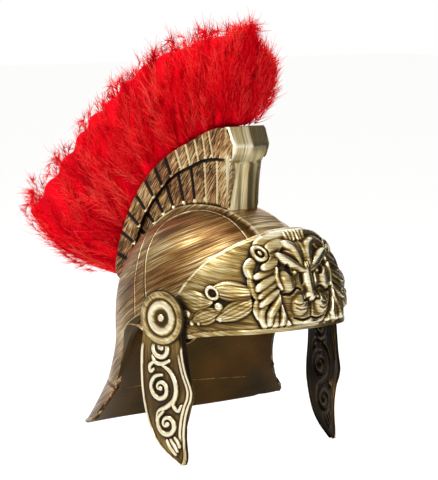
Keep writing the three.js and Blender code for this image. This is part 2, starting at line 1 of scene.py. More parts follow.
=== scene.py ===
import math
import bpy
import numpy as np
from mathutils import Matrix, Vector


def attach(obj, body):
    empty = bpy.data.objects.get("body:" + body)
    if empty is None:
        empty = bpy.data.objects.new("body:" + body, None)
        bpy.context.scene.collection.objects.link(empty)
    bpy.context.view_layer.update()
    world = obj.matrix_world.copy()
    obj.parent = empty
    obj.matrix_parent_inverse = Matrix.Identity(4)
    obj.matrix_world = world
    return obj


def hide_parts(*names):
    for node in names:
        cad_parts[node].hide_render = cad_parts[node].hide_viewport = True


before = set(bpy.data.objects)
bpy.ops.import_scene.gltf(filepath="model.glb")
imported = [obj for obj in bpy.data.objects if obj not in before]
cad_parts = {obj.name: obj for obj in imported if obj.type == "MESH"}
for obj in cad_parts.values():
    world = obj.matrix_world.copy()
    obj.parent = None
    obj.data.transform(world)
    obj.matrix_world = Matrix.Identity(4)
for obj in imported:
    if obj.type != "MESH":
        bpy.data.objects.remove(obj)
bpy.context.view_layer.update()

# View: the helmet hangs as if worn, seen from its front right and a little above, over a
# pale paper floor in a white surround, under three wide soft lamps.
MM = 0.001
# Height of the inside of the crown over the bowl's widest line, in millimetres.
CROWN = 105.0
PICTURE_HEIGHT = 480
FOCAL_PIXELS = 2263.0
CAMERA_MM = (-1368.8, -1626.1, 331.1)
CAMERA_PITCH = 6.83
CAMERA_TURN = -40.0
FLOOR_DROP = 0.32
FLOOR_HALF = 9.0
FLOOR = [(x * FLOOR_HALF, y * FLOOR_HALF, -FLOOR_DROP)
         for x, y in ((-1, -1), (1, -1), (1, 1), (-1, 1))]
CARD = [(0.55, -0.95, -0.3), (0.75, 0.2, -0.3), (0.75, 0.2, 0.75), (0.55, -0.95, 0.75)]
LAMP_AIM = Vector((0.0, 0.02, -0.02))


def metres(points):
    """Helmet points in millimetres about the bowl's middle, as metres below the crown."""
    return (np.asarray(points, dtype=float) - (0.0, 0.0, CROWN)) * MM


def linear(code):
    """An sRGB hex colour as linear red, green, blue and full alpha."""
    parts = [int(code[k:k + 2], 16) / 255 for k in (1, 3, 5)]
    bent = [c / 12.92 if c <= 0.04045 else ((c + 0.055) / 1.055) ** 2.4 for c in parts]
    return (*bent, 1.0)


def node(tree, kind, links=None, **settings):
    """Adds a node. Settings name its properties or sockets, links name what feeds its sockets."""
    made = tree.nodes.new(kind)
    for name, value in settings.items():
        if hasattr(made, name):
            setattr(made, name, value)
        else:
            made.inputs[name.replace("_", " ")].default_value = value
    for socket, source in (links or {}).items():
        tree.links.new(source, made.inputs[socket])
    return made


def new_material(name):
    material = bpy.data.materials.new(name)
    material.use_nodes = True
    material.node_tree.nodes.clear()
    return material, material.node_tree


def surface(tree, links=None, **settings):
    """The shader that ends a material."""
    shader = node(tree, "ShaderNodeBsdfPrincipled", links, **settings)
    node(tree, "ShaderNodeOutputMaterial", {"Surface": shader.outputs["BSDF"]})


def new_object(name, data):
    """An object with this data, added to the scene."""
    made = bpy.data.objects.new(name, data)
    bpy.context.scene.collection.objects.link(made)
    return made


def paper_sheet(name, corners, paper, colour, roughness):
    """A flat sheet of matt paper round the helmet."""
    data = bpy.data.meshes.new(name)
    data.from_pydata(corners, [], [(0, 1, 2, 3)])
    material, tree = new_material(paper)
    surface(tree, Base_Color=linear(colour), Roughness=roughness)
    data.materials.append(material)
    return new_object(name, data)


def soft_lamp(name, place, size, power):
    """A square area lamp that points at the helmet's middle."""
    data = bpy.data.lights.new(name, "AREA")
    data.shape = "SQUARE"
    data.size = size
    data.energy = power
    lamp = new_object(name, data)
    lamp.location = place
    lamp.rotation_euler = (LAMP_AIM - lamp.location).to_track_quat("-Z", "Y").to_euler()


camera_data = bpy.data.cameras.new("camera")
camera_data.sensor_fit = "VERTICAL"
camera_data.sensor_height = 36.0
camera_data.lens = FOCAL_PIXELS / PICTURE_HEIGHT * camera_data.sensor_height
camera_data.clip_end = 30.0
camera = new_object("camera", camera_data)
camera.location = metres([CAMERA_MM])[0]
camera.rotation_euler = (math.radians(90 - CAMERA_PITCH), 0.0, math.radians(CAMERA_TURN))
bpy.context.scene.camera = camera

# Matt white paper: takes a soft shadow and no gloss.
floor = paper_sheet("floor", FLOOR, "white_paper", "#fcfcfb", 0.9)
# Matt black card beyond the wearer's left cheek, out of the picture: it gives back almost
# nothing, and so darkens what the far half reflects.
card = paper_sheet("black_card", CARD, "black_paper", "#0c0b0a", 0.95)
card.visible_camera = False
card.visible_shadow = False

world = bpy.data.worlds.new("studio")
world.use_nodes = True
world.node_tree.nodes["Background"].inputs["Color"].default_value = linear("#ffffff")
world.node_tree.nodes["Background"].inputs["Strength"].default_value = 1.0
bpy.context.scene.world = world
bpy.context.scene.view_settings.view_transform = "Standard"
soft_lamp("key_lamp", (-0.46, 0.34, 1.32), 0.8, 11.0)
soft_lamp("front_lamp", (-1.1, -1.5, 0.9), 0.8, 10.0)
soft_lamp("back_lamp", (0.9, 1.5, 0.9), 1.2, 5.0)


# Bowl: a formed shell of metallised plastic with a brow, temple tabs, ear arches and a flared
# neck guard. Its edge is rolled, a flange stands round each ear, fine beads mark the seams,
# and a raised band runs over the crown for the crest to stand on.
BOWL_HALF_WIDTH = 95.0
BOWL_HALF_LENGTH = 112.0
BOWL_HEIGHT = 107.0
BOWL_FULLNESS = 2.3
BOWL_WALL = 2.0
NECK_DEPTH = 60.0
WAIST_DEPTH = 2.0
RIM_FLARE = 31.5
RIM_SIDE_DROP = 88.0
RIM_BACK_DROP = 112.0
RIM_CORNER_COS = 0.386
FLARE_FROM = 0.3
FLARE_POWER = 1.3
BROW = 17 / BOWL_HEIGHT
TEMPLE = -8 / NECK_DEPTH
ARCH = 2 / BOWL_HEIGHT
# Lower edge of the shell, from the brow round to the nape: turn in degrees, level.
EDGE_ROWS = [
    (0, BROW), (22, BROW), (42, BROW * 0.8), (52, 0.02), (60, TEMPLE), (78, TEMPLE),
    (86, TEMPLE * 0.5), (92, ARCH * 0.5), (98, ARCH), (104, ARCH * 0.4), (108.5, -0.07),
    (110.3, -0.18), (111, -0.4), (111.2, -0.7), (111.6, -1), (112.2, -1.55), (112.7, -2),
    (126, -2), (152, -2), (180, -2),
]
EDGE_SCALE = (1.8, 80)
EDGE_ROLL = 1.2
EDGE_ROLL_WIDTH = 3.6
FLANGE_WIDTH = 13.0
FLANGE_RISE = 0.9
FLANGE_LIP = 1.6
HALF_COLUMNS = 150
DOME_STEPS = 50
SKIRT_STEPS = 75
SKIRT_TOP = 0.3
INNER_STEP = 4
SEAT_HALF = 21.5
GROOVE_DROP = 36


def smooth_path(rows, count):
    """Evenly spaced points on the curve that runs through the rows."""
    rows = np.asarray(rows, dtype=float)
    padded = np.vstack([rows[:1], rows, rows[-1:]])
    fine = []
    for a, b, c, d in zip(padded[:-3], padded[1:-2], padded[2:-1], padded[3:]):
        t = np.linspace(0, 1, 40, endpoint=False)[:, None]
        fine.append(0.5 * (2 * b + (c - a) * t + (2 * a - 5 * b + 4 * c - d) * t ** 2
                           + (3 * b - a - 3 * c + d) * t ** 3))
    fine = np.vstack([*fine, rows[-1:]])
    run = np.concatenate([[0], np.cumsum(np.linalg.norm(np.diff(fine, axis=0), axis=1))])
    spots = np.linspace(0, run[-1], count)
    return np.stack([np.interp(spots, run, fine[:, c]) for c in range(rows.shape[1])], axis=-1)


def ease(x, low, high):
    t = np.clip((x - low) / (high - low), 0, 1)
    return t * t * (3 - 2 * t)


def peak(x, middle, width):
    """1 at the middle, and next to nothing beyond twice the width."""
    return np.exp(-((x - middle) / width) ** 2)


def rounded(x, middle, half):
    """A half circle: 1 at the middle, 0 from the half-width on."""
    return np.clip(1 - ((x - middle) / half) ** 2, 0, 1) ** 0.5


def unit(vectors):
    return vectors / np.maximum(np.linalg.norm(vectors, axis=-1, keepdims=True), 1e-9)


def grid_normals(points, ring=False):
    """Unit normals of a grid of points, from its neighbours along both directions."""
    if ring:
        across = np.roll(points, -1, axis=1) - np.roll(points, 1, axis=1)
    else:
        across = np.gradient(points, axis=1)
    return unit(np.cross(across, np.gradient(points, axis=0)))


def blurred(field, steps, ring=False):
    """A field averaged with its neighbours, for telling ridges from hollows."""
    for _ in range(steps):
        pads = ((1, 1), (0, 0))
        tall = np.pad(field, pads, mode="edge")
        field = (tall[:-2] + 2 * tall[1:-1] + tall[2:]) / 4
        wide = np.pad(field, ((0, 0), (1, 1)), mode="wrap" if ring else "edge")
        field = (wide[:, :-2] + 2 * wide[:, 1:-1] + wide[:, 2:]) / 4
    return field


def wall_faces(rows, columns, first=0, steps=None):
    """Quads between a grid's neighbouring rows, right round unless it takes fewer steps."""
    i = first + np.arange(rows - 1)[:, None] * columns
    j = np.arange(steps or columns)
    k = (j + 1) % columns
    return np.stack([i + j, i + k, i + columns + k, i + columns + j], axis=-1).reshape(-1, 4)


def plate_faces(rows, inner_rows, columns, ring, crowned):
    """Faces of a closed plate between two grids that have the same columns.
    A crowned one ends at two middle points in place of its first rim."""
    steps = columns if ring else columns - 1
    j = np.arange(steps)
    k = (j + 1) % columns
    size = rows * columns
    last, inner_last = size - columns, size + (inner_rows - 1) * columns
    faces = wall_faces(rows, columns, 0, steps).tolist()
    faces += wall_faces(inner_rows, columns, size, steps)[:, ::-1].tolist()
    if not crowned:
        faces += np.stack([k, j, size + j, size + k], axis=-1).tolist()
    faces += np.stack([last + j, last + k, inner_last + k, inner_last + j], axis=-1).tolist()
    if crowned:
        crown = inner_last + columns
        for a, b in zip(j.tolist(), k.tolist()):
            faces += [[b, a, crown], [size + a, size + b, crown + 1]]
    if not ring:
        for c, flip in ((0, False), (columns - 1, True)):
            loop = [i * columns + c for i in range(rows)]
            loop += [size + i * columns + c for i in reversed(range(inner_rows))]
            faces.append(loop[::-1] if flip else loop)
    return faces


class Shape:
    """Points, faces and paint values of one piece, gathered part by part. Paint is below 0 in
    hollows, where dark paint lies, and above 0 on ridges, where it is wiped off. It also
    carries painted shade on inner faces, beside and under the crest and deep in the plume,
    and painted highlights in some crest grooves."""

    def __init__(self):
        self.points, self.faces, self.paint = [], [], []
        self.count = 0

    def add(self, points, faces, paint=0.0):
        points = np.asarray(points, dtype=float).reshape(-1, 3)
        values = np.asarray(paint, dtype=float).reshape(-1)
        self.points.append(points)
        self.faces += [[v + self.count for v in face] for face in faces]
        self.paint.append(np.broadcast_to(values, (len(points),)))
        self.count += len(points)

    # Inner faces get full dark paint unless told otherwise: painted shade inside the shell.
    def plate(self, outer, inner, ring=False, paint=0.0, inner_paint=-1.0, crown=()):
        values = np.concatenate([np.broadcast_to(paint, outer.shape[:2]).ravel(),
                                 np.broadcast_to(inner_paint, inner.shape[:2]).ravel(),
                                 np.zeros(len(crown))])
        points = np.concatenate([outer.reshape(-1, 3), inner.reshape(-1, 3),
                                 np.reshape(crown, (-1, 3))])
        faces = plate_faces(len(outer), len(inner), outer.shape[1], ring, len(crown) > 0)
        self.add(points, faces, values)

    def tube(self, rings, paint, flip=False):
        """A wall through the rings, one to a row, with a lid at each end."""
        rows, columns = rings.shape[:2]
        faces = wall_faces(rows, columns).tolist()
        faces += [list(range(columns))[::-1], list(range((rows - 1) * columns, rows * columns))]
        self.add(rings, [face[::-1] for face in faces] if flip else faces, paint)

    def bead(self, path, wide, up, spokes, paint):
        """An oval bead along a path, with its half-axes at each point."""
        angle = np.linspace(0, 2 * math.pi, spokes, endpoint=False)[:, None]
        rings = path[:, None] + np.cos(angle) * wide[:, None] + np.sin(angle) * up[:, None]
        self.tube(rings, paint)

    def piece(self, name, material, crease=50.0):
        """The finished object, in metres, smooth apart from edges sharper than the crease."""
        data = bpy.data.meshes.new(name)
        data.from_pydata(metres(np.concatenate(self.points)).tolist(), [], self.faces)
        data.validate()
        paint = data.attributes.new("paint", "FLOAT", "POINT")
        paint.data.foreach_set("value", np.concatenate(self.paint).astype(np.float32))
        data.shade_smooth()
        data.set_sharp_from_angle(angle=math.radians(crease))
        data.materials.append(material)
        return new_object(name, data)


def bowl_point(turn, level):
    """Outside of the bowl, by its turn from the middle of the brow and its level.
    Level 1 is the crown, 0 the widest line, -1 the neck crease and -2 the rim."""
    widest = 1 / np.hypot(np.sin(turn) / BOWL_HALF_WIDTH, np.cos(turn) / BOWL_HALF_LENGTH)
    dome = widest * (1 - np.clip(level, 0, 1) ** BOWL_FULLNESS) ** (1 / BOWL_FULLNESS)
    wall = np.clip(-level, 0, 1)
    out = np.maximum(-level - wall, 0)
    rear = np.maximum((-np.cos(turn) - RIM_CORNER_COS) / (1 - RIM_CORNER_COS), 0)
    drop = RIM_SIDE_DROP + (RIM_BACK_DROP - RIM_SIDE_DROP) * rear
    swing = np.clip((-level - FLARE_FROM) / (2 - FLARE_FROM), 0, 1) ** FLARE_POWER
    low = widest + RIM_FLARE * swing - WAIST_DEPTH * ease(wall, 0, 1)
    radius = np.where(level >= 0, dome, low)
    below = -(NECK_DEPTH * wall * (1 - out) + drop * out)
    height = np.where(level >= 0, level * BOWL_HEIGHT, below)
    return np.stack([radius * np.sin(turn), -radius * np.cos(turn), height], axis=-1)


def make_bowl_shell(shape):
    """Rings run down from the crown, and below the skirt's top they fan out to the edge."""
    index = np.concatenate([np.arange(HALF_COLUMNS + 1), np.arange(HALF_COLUMNS - 1, 0, -1)])
    side = np.where(np.arange(2 * HALF_COLUMNS) <= HALF_COLUMNS, -1.0, 1.0)
    edge = smooth_path(np.array(EDGE_ROWS) * EDGE_SCALE, HALF_COLUMNS + 1) / EDGE_SCALE
    edge_turn, edge_level = np.radians(edge[index, 0]), edge[index, 1]
    top_turn = index * math.pi / HALF_COLUMNS
    lowest = math.asin(SKIRT_TOP ** (BOWL_FULLNESS / 2))
    dome_angle = np.linspace(math.pi / 2 - 0.004, lowest, DOME_STEPS)[:, None]
    share = 1 - (1 - np.linspace(0, 1, SKIRT_STEPS + 1)[1:, None]) ** 1.5
    level = np.vstack([np.sin(dome_angle) ** (2 / BOWL_FULLNESS) + 0 * top_turn,
                       SKIRT_TOP + (edge_level - SKIRT_TOP) * share])
    turn = np.vstack([0 * dome_angle + top_turn,
                      top_turn + (edge_turn - top_turn) * ease(share, 0, 1)]) * side
    base = bowl_point(turn, level)
    normals = grid_normals(base, ring=True)
    steps = np.linalg.norm(np.diff(base, axis=0), axis=2)
    from_edge = np.vstack([np.cumsum(steps[::-1], axis=0)[::-1], np.zeros((1, len(side)))])
    edge_turn = np.degrees(edge_turn)
    near_ear = ease(edge_turn, 80, 90) * (1 - ease(edge_turn, 118, 124)) * (edge_level > -1.3)
    lip_at = FLANGE_WIDTH - FLANGE_LIP
    rise = (EDGE_ROLL * rounded(from_edge, EDGE_ROLL_WIDTH / 2, EDGE_ROLL_WIDTH / 2)
            + FLANGE_RISE * near_ear * (1 - ease(from_edge, lip_at, FLANGE_WIDTH))
            + 0.5 * near_ear * peak(from_edge, lip_at, 0.9)
            - 0.5 * peak(level * NECK_DEPTH, -NECK_DEPTH, 1.6) * (from_edge > 6))
    # A strip high on the dome beside the raised band is painted darker: painted shade at the foot
    # of the band and the crest.
    seat_shade = peak(np.abs(base[..., 0]), SEAT_HALF, 2.4) * (base[..., 2] > 50)
    paint = np.clip((rise - blurred(rise, 6, ring=True)) * 2.2 - 0.8 * seat_shade, -1, 1)
    groove = -0.5 * peak(base[..., 2], -GROOVE_DROP, 1.4) * (base[..., 1] > 20)
    inside = base - normals * (BOWL_WALL - groove[..., None])
    inside = inside[np.unique([*range(0, len(base), INNER_STEP), len(base) - 1])]
    # The inside is painted dark, darkest from the widest line up under the crown: painted shade
    # inside the bowl.
    shape.plate(base + normals * rise[..., None], inside, ring=True, paint=paint,
                inner_paint=-0.7 - 0.3 * ease(inside[..., 2], -20, 5),
                crown=[(0, 0, BOWL_HEIGHT), (0, 0, BOWL_HEIGHT - BOWL_WALL)])


def on_dome(directions, lift=0.0):
    """Points of the dome in the given directions from its middle, raised by a lift."""
    d = np.asarray(directions, dtype=float)
    plan = (d[..., 0] / BOWL_HALF_WIDTH) ** 2 + (d[..., 1] / BOWL_HALF_LENGTH) ** 2
    size = (plan ** (BOWL_FULLNESS / 2) + (np.abs(d[..., 2]) / BOWL_HEIGHT) ** BOWL_FULLNESS)
    spot = d / size[..., None] ** (1 / BOWL_FULLNESS)
    plan = (spot[..., 0] / BOWL_HALF_WIDTH) ** 2 + (spot[..., 1] / BOWL_HALF_LENGTH) ** 2
    plan = np.maximum(plan, 1e-6) ** (BOWL_FULLNESS / 2 - 1)
    rise = (np.abs(spot[..., 2]) / BOWL_HEIGHT) ** (BOWL_FULLNESS - 1) / BOWL_HEIGHT
    normal = unit(np.stack([plan * spot[..., 0] / BOWL_HALF_WIDTH ** 2,
                            plan * spot[..., 1] / BOWL_HALF_LENGTH ** 2, rise], axis=-1))
    return spot + normal * np.asarray(lift)[..., None]


def dome_at(x, lean, lift):
    """Point of the dome at x, on a ray that leans back from the vertical, raised by a lift."""
    x, lean = np.broadcast_arrays(np.asarray(x, dtype=float), np.asarray(lean, dtype=float))
    low, high = np.zeros(x.shape), np.full(x.shape, 2 * BOWL_HALF_LENGTH)
    for _ in range(40):
        middle = (low + high) / 2
        plan = (x / BOWL_HALF_WIDTH) ** 2 + (middle * np.sin(lean) / BOWL_HALF_LENGTH) ** 2
        rise = np.abs(middle * np.cos(lean) / BOWL_HEIGHT)
        field = plan ** (BOWL_FULLNESS / 2) + rise ** BOWL_FULLNESS
        low = np.where(field < 1, middle, low)
        high = np.where(field < 1, high, middle)
    return on_dome(np.stack([x, low * np.sin(lean), low * np.cos(lean)], axis=-1), lift)


PLINTH_HALF_WIDTH = 19.5
PLINTH_RISE = 4.75


def make_plinth(shape):
    """The raised band: low behind, full under the crest, with a bead along each edge."""
    lean = np.radians(np.linspace(-80, 79, 170))[:, None]
    across = np.concatenate([[-1.0], np.linspace(-0.985, -0.9, 5), np.linspace(-0.8, 0.8, 17),
                             np.linspace(0.9, 0.985, 5), [1.0]])[None, :]
    full = PLINTH_RISE * (0.3 + 0.7 * ease(np.degrees(lean), -58, -44))
    edge = np.sqrt(np.clip((1 - np.abs(across)) / 0.06, 0, 1))
    bead = 0.5 * peak(np.abs(across), 0.93, 0.035)
    rise = full * (0.15 + 0.85 * edge) + bead
    top = dome_at(across * PLINTH_HALF_WIDTH, lean, rise)
    foot = dome_at(across * PLINTH_HALF_WIDTH, lean, -1.0 + 0 * rise)
    # The band's steep sides are painted a little darker: painted shade.
    paint = np.clip(bead * 2 - 0.25 * (edge < 1), -1, 1)
    shape.plate(top, foot[[0, 40, 80, 120, 169]], paint=paint)


# Seam beads on each side: through the bowl's middle, in millimetres, for the right side.
FRONT_SEAM = [
    (-30, -80, 74), (-27, -66, 86), (-23.5, -38, 101), (-21.5, -8, 108), (-22, 8, 107),
    (-27, 20, 103), (-38, 26, 98), (-50.8, 27, 92), (-66, 22.5, 81), (-77.4, 16.7, 68),
    (-86.5, 8, 51.7), (-92.8, -1.2, 30),
]
REAR_SEAM = [
    (-21, 64, 94), (-24, 60, 94), (-32, 55, 92), (-44.6, 49.6, 88), (-66, 37, 76), (-80, 28, 60),
    (-88, 21.7, 41), (-92, 17, 28), (-94, 14, 12),
]
# Each seam is a bare bead with a line of paint behind it: shift, half-width, rise and paint.
SEAM_BEADS = [(0.0, 0.7, 0.75, 0.6), (1.7, 1.2, 0.3, -0.9)]
# A fine pale line that the mould left round the inside of the neck.
INNER_LINE_LEVEL = -1.4
INNER_LINE_HALF = 0.35
INNER_LINE_PAINT = 0.2


def make_seam(shape, rows, side, shift, half, rise, paint):
    path = on_dome(smooth_path(rows, 120) * (side, 1, 1) + (0, shift, 0))
    up = on_dome(path, np.ones(len(path))) - path
    wide = np.cross(unit(np.gradient(path, axis=0)), up)
    shape.bead(path, half * wide, rise * up, 8, paint)


def make_inner_line(shape):
    turn = np.radians(np.linspace(128, 232, 90))
    path = bowl_point(turn, INNER_LINE_LEVEL + 0 * turn)
    inward = -unit(path * (1, 1, 0))
    up = 0 * path + (0, 0, 1.0)
    shape.bead(path + BOWL_WALL * inward, INNER_LINE_HALF * inward, INNER_LINE_HALF * up, 6,
               INNER_LINE_PAINT)



def weighed(tree, start, terms):
    """Sum of a start value and of sockets, each times its weight."""
    value = None
    for socket, weight in terms:
        step = node(tree, "ShaderNodeMath", {0: socket}, operation="MULTIPLY_ADD")
        step.inputs[1].default_value = weight
        step.inputs[2].default_value = start
        if value is not None:
            tree.links.new(value, step.inputs[2])
        value = step.outputs["Value"]
    return value


def remapped(tree, socket, **limits):
    """A value moved from one range to another."""
    return node(tree, "ShaderNodeMapRange", {"Value": socket}, **limits).outputs["Result"]


def noise(tree, place, size_mm, detail=1.0):
    return node(tree, "ShaderNodeTexNoise", {"Vector": place},
                Scale=1 / (size_mm * MM), Detail=detail)


def ramp(tree, socket, stops):
    """Colours for a value, from the first stop at 0 to the last at 1."""
    made = node(tree, "ShaderNodeValToRGB", {"Fac": socket})
    scale = made.color_ramp.elements
    scale[0].color = linear(stops[0][1])
    scale[-1].color = linear(stops[-1][1])
    for spot, shade in stops[1:-1]:
        scale.new(spot).color = linear(shade)
    return made.outputs["Color"]


def streaks(tree, place, turn, run_mm, wide_mm, detail):
    """Noise drawn out into lines: long across the turned vertical, narrow along it."""
    drawn = node(tree, "ShaderNodeMapping", {"Vector": place}, vector_type="TEXTURE",
                 Rotation=turn, Scale=(run_mm * MM, run_mm * MM, wide_mm * MM))
    lines = node(tree, "ShaderNodeTexNoise", {"Vector": drawn.outputs["Vector"]},
                 Scale=1.0, Detail=detail, Roughness=0.6)
    return lines.outputs["Fac"]


# Sizes of the paint's patterns in millimetres, and what the broad strokes and patches add to it.
WANDER_MM = 70
WANDER_BY_MM = 12
PATCH_MM = 45
COPPER_MM = 38
BROAD_WEIGHT = 0.7
PATCH_WEIGHT = 0.6


def gilt(name, stops, stroke_turn, stroke_mm, stroke_run_mm, stain, brushed, relief_weight=0.45,
         roughness=0.3, ruddy=0.0):
    """Gilt plastic: a bright metallic coat under dark paint that was brushed on and wiped off.
    To the eye it is pale gold on every ridge, brown in the hollows, with fine drawn brush lines.
    The stops run from bare coat to thick paint, and ruddy adds coppery patches."""
    material, tree = new_material(name)
    place = node(tree, "ShaderNodeTexCoord").outputs["Object"]
    wander = noise(tree, place, WANDER_MM).outputs["Color"]
    shift = node(tree, "ShaderNodeVectorMath", {0: wander}, operation="SCALE",
                 Scale=WANDER_BY_MM * MM).outputs["Vector"]
    swept = node(tree, "ShaderNodeVectorMath", {0: place, 1: shift},
                 operation="ADD").outputs["Vector"]
    fine = streaks(tree, swept, stroke_turn, stroke_run_mm, stroke_mm, 3.0)
    broad = streaks(tree, swept, stroke_turn, 2.2 * stroke_run_mm, 4.5 * stroke_mm, 2.0)
    patches = noise(tree, place, PATCH_MM).outputs["Fac"]
    relief = node(tree, "ShaderNodeAttribute", attribute_name="paint").outputs["Fac"]
    lines = weighed(tree, -0.5 * (brushed + BROAD_WEIGHT), [(fine, brushed), (broad, BROAD_WEIGHT)])
    wiped = remapped(tree, relief, From_Min=-0.45, From_Max=-0.05, To_Min=0.12)
    drawn = node(tree, "ShaderNodeMath", {0: lines, 1: wiped},
                 operation="MULTIPLY").outputs["Value"]
    layer = weighed(tree, stain - 0.5 * PATCH_WEIGHT,
                    [(drawn, 1.0), (patches, PATCH_WEIGHT), (relief, -relief_weight)])
    tone = ramp(tree, layer, stops)
    if ruddy:
        copper = noise(tree, swept, COPPER_MM).outputs["Fac"]
        amount = remapped(tree, copper, From_Min=0.45, From_Max=0.7, To_Max=ruddy)
        mixed = node(tree, "ShaderNodeMix", {0: amount, 6: tone},
                     data_type="RGBA", blend_type="MULTIPLY")
        mixed.inputs[7].default_value = linear("#d8734e")
        tone = mixed.outputs[2]
    rough = remapped(tree, layer, To_Min=roughness, To_Max=roughness + 0.3)
    metal = remapped(tree, layer, From_Min=0.3, To_Min=1.0, To_Max=0.85)
    drag = node(tree, "ShaderNodeBump", {"Height": fine}, Strength=0.3, Distance=0.3 * MM)
    surface(tree, {"Base Color": tone, "Roughness": rough, "Metallic": metal,
                   "Normal": drag.outputs["Normal"]}, Coat_Weight=0.08, Coat_Roughness=0.3)
    return material


# Long slanting strokes of brown over gold, with coppery patches: warm, and only half bright.
bowl_gilt = gilt("gilt_bowl_brushed_copper",
                 [(0.0, "#dcd4b0"), (0.28, "#ab935f"), (0.48, "#80592a"), (0.62, "#573a16"),
                  (0.8, "#45310a"), (1.0, "#241a06")],
                 (math.radians(-29), 0.0, 0.0), stroke_mm=0.8, stroke_run_mm=34, stain=0.47,
                 brushed=1.7, ruddy=0.3)
bowl_shape = Shape()
make_bowl_shell(bowl_shape)
make_plinth(bowl_shape)
for side in (-1, 1):
    for rows in (FRONT_SEAM, REAR_SEAM):
        for bead in SEAM_BEADS:
            make_seam(bowl_shape, rows, side, *bead)
make_inner_line(bowl_shape)
bowl = bowl_shape.piece("bowl_shell", bowl_gilt)
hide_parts("bowl")
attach(bowl, "helmet")


# Crest box: a blow-moulded arch in two tiers whose sides are cut into blocks by grooves.
# Its head at the front is smooth bright gold with a shallow prow and a folded brow.
CREST_HEIGHT = 75.0
CREST_SEAT = PLINTH_RISE + 0.3
CREST_FOOT_HALF = 18.0
CREST_TOP_HALF = 22.0
CREST_HEAD_HALF = 24.0
CREST_ROWS = [
    (-10, 0.61, 1), (2, 0.557, 0.876), (10, 0.479, 0.773), (22, 0.385, 0.663), (31, 0.285, 0.581),
    (42, 0.195, 0.491), (53, 0.115, 0.417), (64, 0.06, 0.373), (73, 0.035, 0.35),
    (76.5, 0.03, 0.29), (78.5, 0.025, 0.12),
]
UPPER_GROOVES = [(-2.4 + 4.2 * i + 0.2 * i * i, 2.4 - 0.15 * i) for i in range(12)]
LOWER_GROOVES = [(-5.3 + 8.3 * i, 1.2) for i in range(8)]
# In the grooves before these leans the front side is painted bright, a painted highlight, and the
# rear side dark, painted shade; the grooves behind them are painted dark across their width.
LOW_HIGHLIT_TO = 7.0
HIGH_HIGHLIT_TO = 18.0
# Two small pin holes in the lower tier, drawn as dark spots of painted shade and not cut: lean and
# share of its height.
PIN_HOLES = [(-1.5, 0.8), (-7.0, 0.16)]
GROOVE_HALF = 2.1
GROOVE_DEPTH = 1.5
CREST_COLUMNS = 400
LOW_ROWS = 24
HIGH_ROWS = 16
TIER_CHAMFER = 0.8
PIN_RADIUS = 1.4
FILLED = -0.3
# Profile of the head's front, from its foot up: height share, how far forward, half-width.
HEAD_ROWS = [
    (0, -31.3, 17.8), (0.2, -31.9, 18), (0.45, -33.3, 18.2), (0.585, -35.2, 18.6),
    (0.615, -36.2, 20.2), (0.7, -39.4, 21.3), (0.775, -41.2, 21.9), (0.8, -41.2, 22.0),
    (0.88, -38.2, 23.0), (1, -34.2, 24.2),
]
HEAD_FOOT = 105.0
HEAD_TOP = 186.2
HEAD_SKIN = 3.2
PROW = 3.4


def rows_at(rows, x):
    """Columns of a table at x, on a smooth curve through its rows."""
    rows = np.asarray(rows, dtype=float)
    x = np.clip(x, rows[0, 0], rows[-1, 0])
    k = np.clip(np.searchsorted(rows[:, 0], x, side="right") - 1, 0, len(rows) - 2)
    before = np.maximum(np.arange(len(rows)) - 1, 0)
    after = np.minimum(np.arange(len(rows)) + 1, len(rows) - 1)
    slopes = (rows[after, 1:] - rows[before, 1:]) / (rows[after, :1] - rows[before, :1])
    span = (rows[k + 1, 0] - rows[k, 0])[..., None]
    t = ((x - rows[k, 0])[..., None]) / span
    rise = rows[k + 1, 1:] - rows[k, 1:]
    start, end = slopes[k] * span, slopes[k + 1] * span
    bend = (3 * rise - 2 * start - end) * t ** 2 + (start + end - 2 * rise) * t ** 3
    return np.moveaxis(rows[k, 1:] + start * t + bend, -1, 0)


def crest_point(x, lean, rise):
    spot = dome_at(0 * lean, np.radians(lean), CREST_SEAT + rise)
    return np.stack([x + 0 * lean, spot[..., 1], spot[..., 2]], axis=-1)


def groove_cut(lean, share, grooves, radius, highlit_to):
    """Depth share of the grooves and their paint, at a lean and a share of the tier's height."""
    cut = 0 * lean * share
    paint = 0 * cut
    for top, slant in grooves:
        middle = top - slant * (1 - share)
        off = np.radians(lean - middle) * radius
        deep = 1 - ease(np.abs(off), GROOVE_HALF * 0.55, GROOVE_HALF * 1.2)
        # Front side of a groove +1, a painted highlight; rear side -1, painted shade.
        wiped = 1 - 2 * ease(off, GROOVE_HALF * 0.5, GROOVE_HALF * 1.1)
        value = np.clip(deep * 1.5, 0, 1) * (wiped if top < highlit_to else -1)
        paint = np.where(np.abs(value) > np.abs(paint), value, paint)
        cut = np.maximum(cut, deep)
    return cut, paint


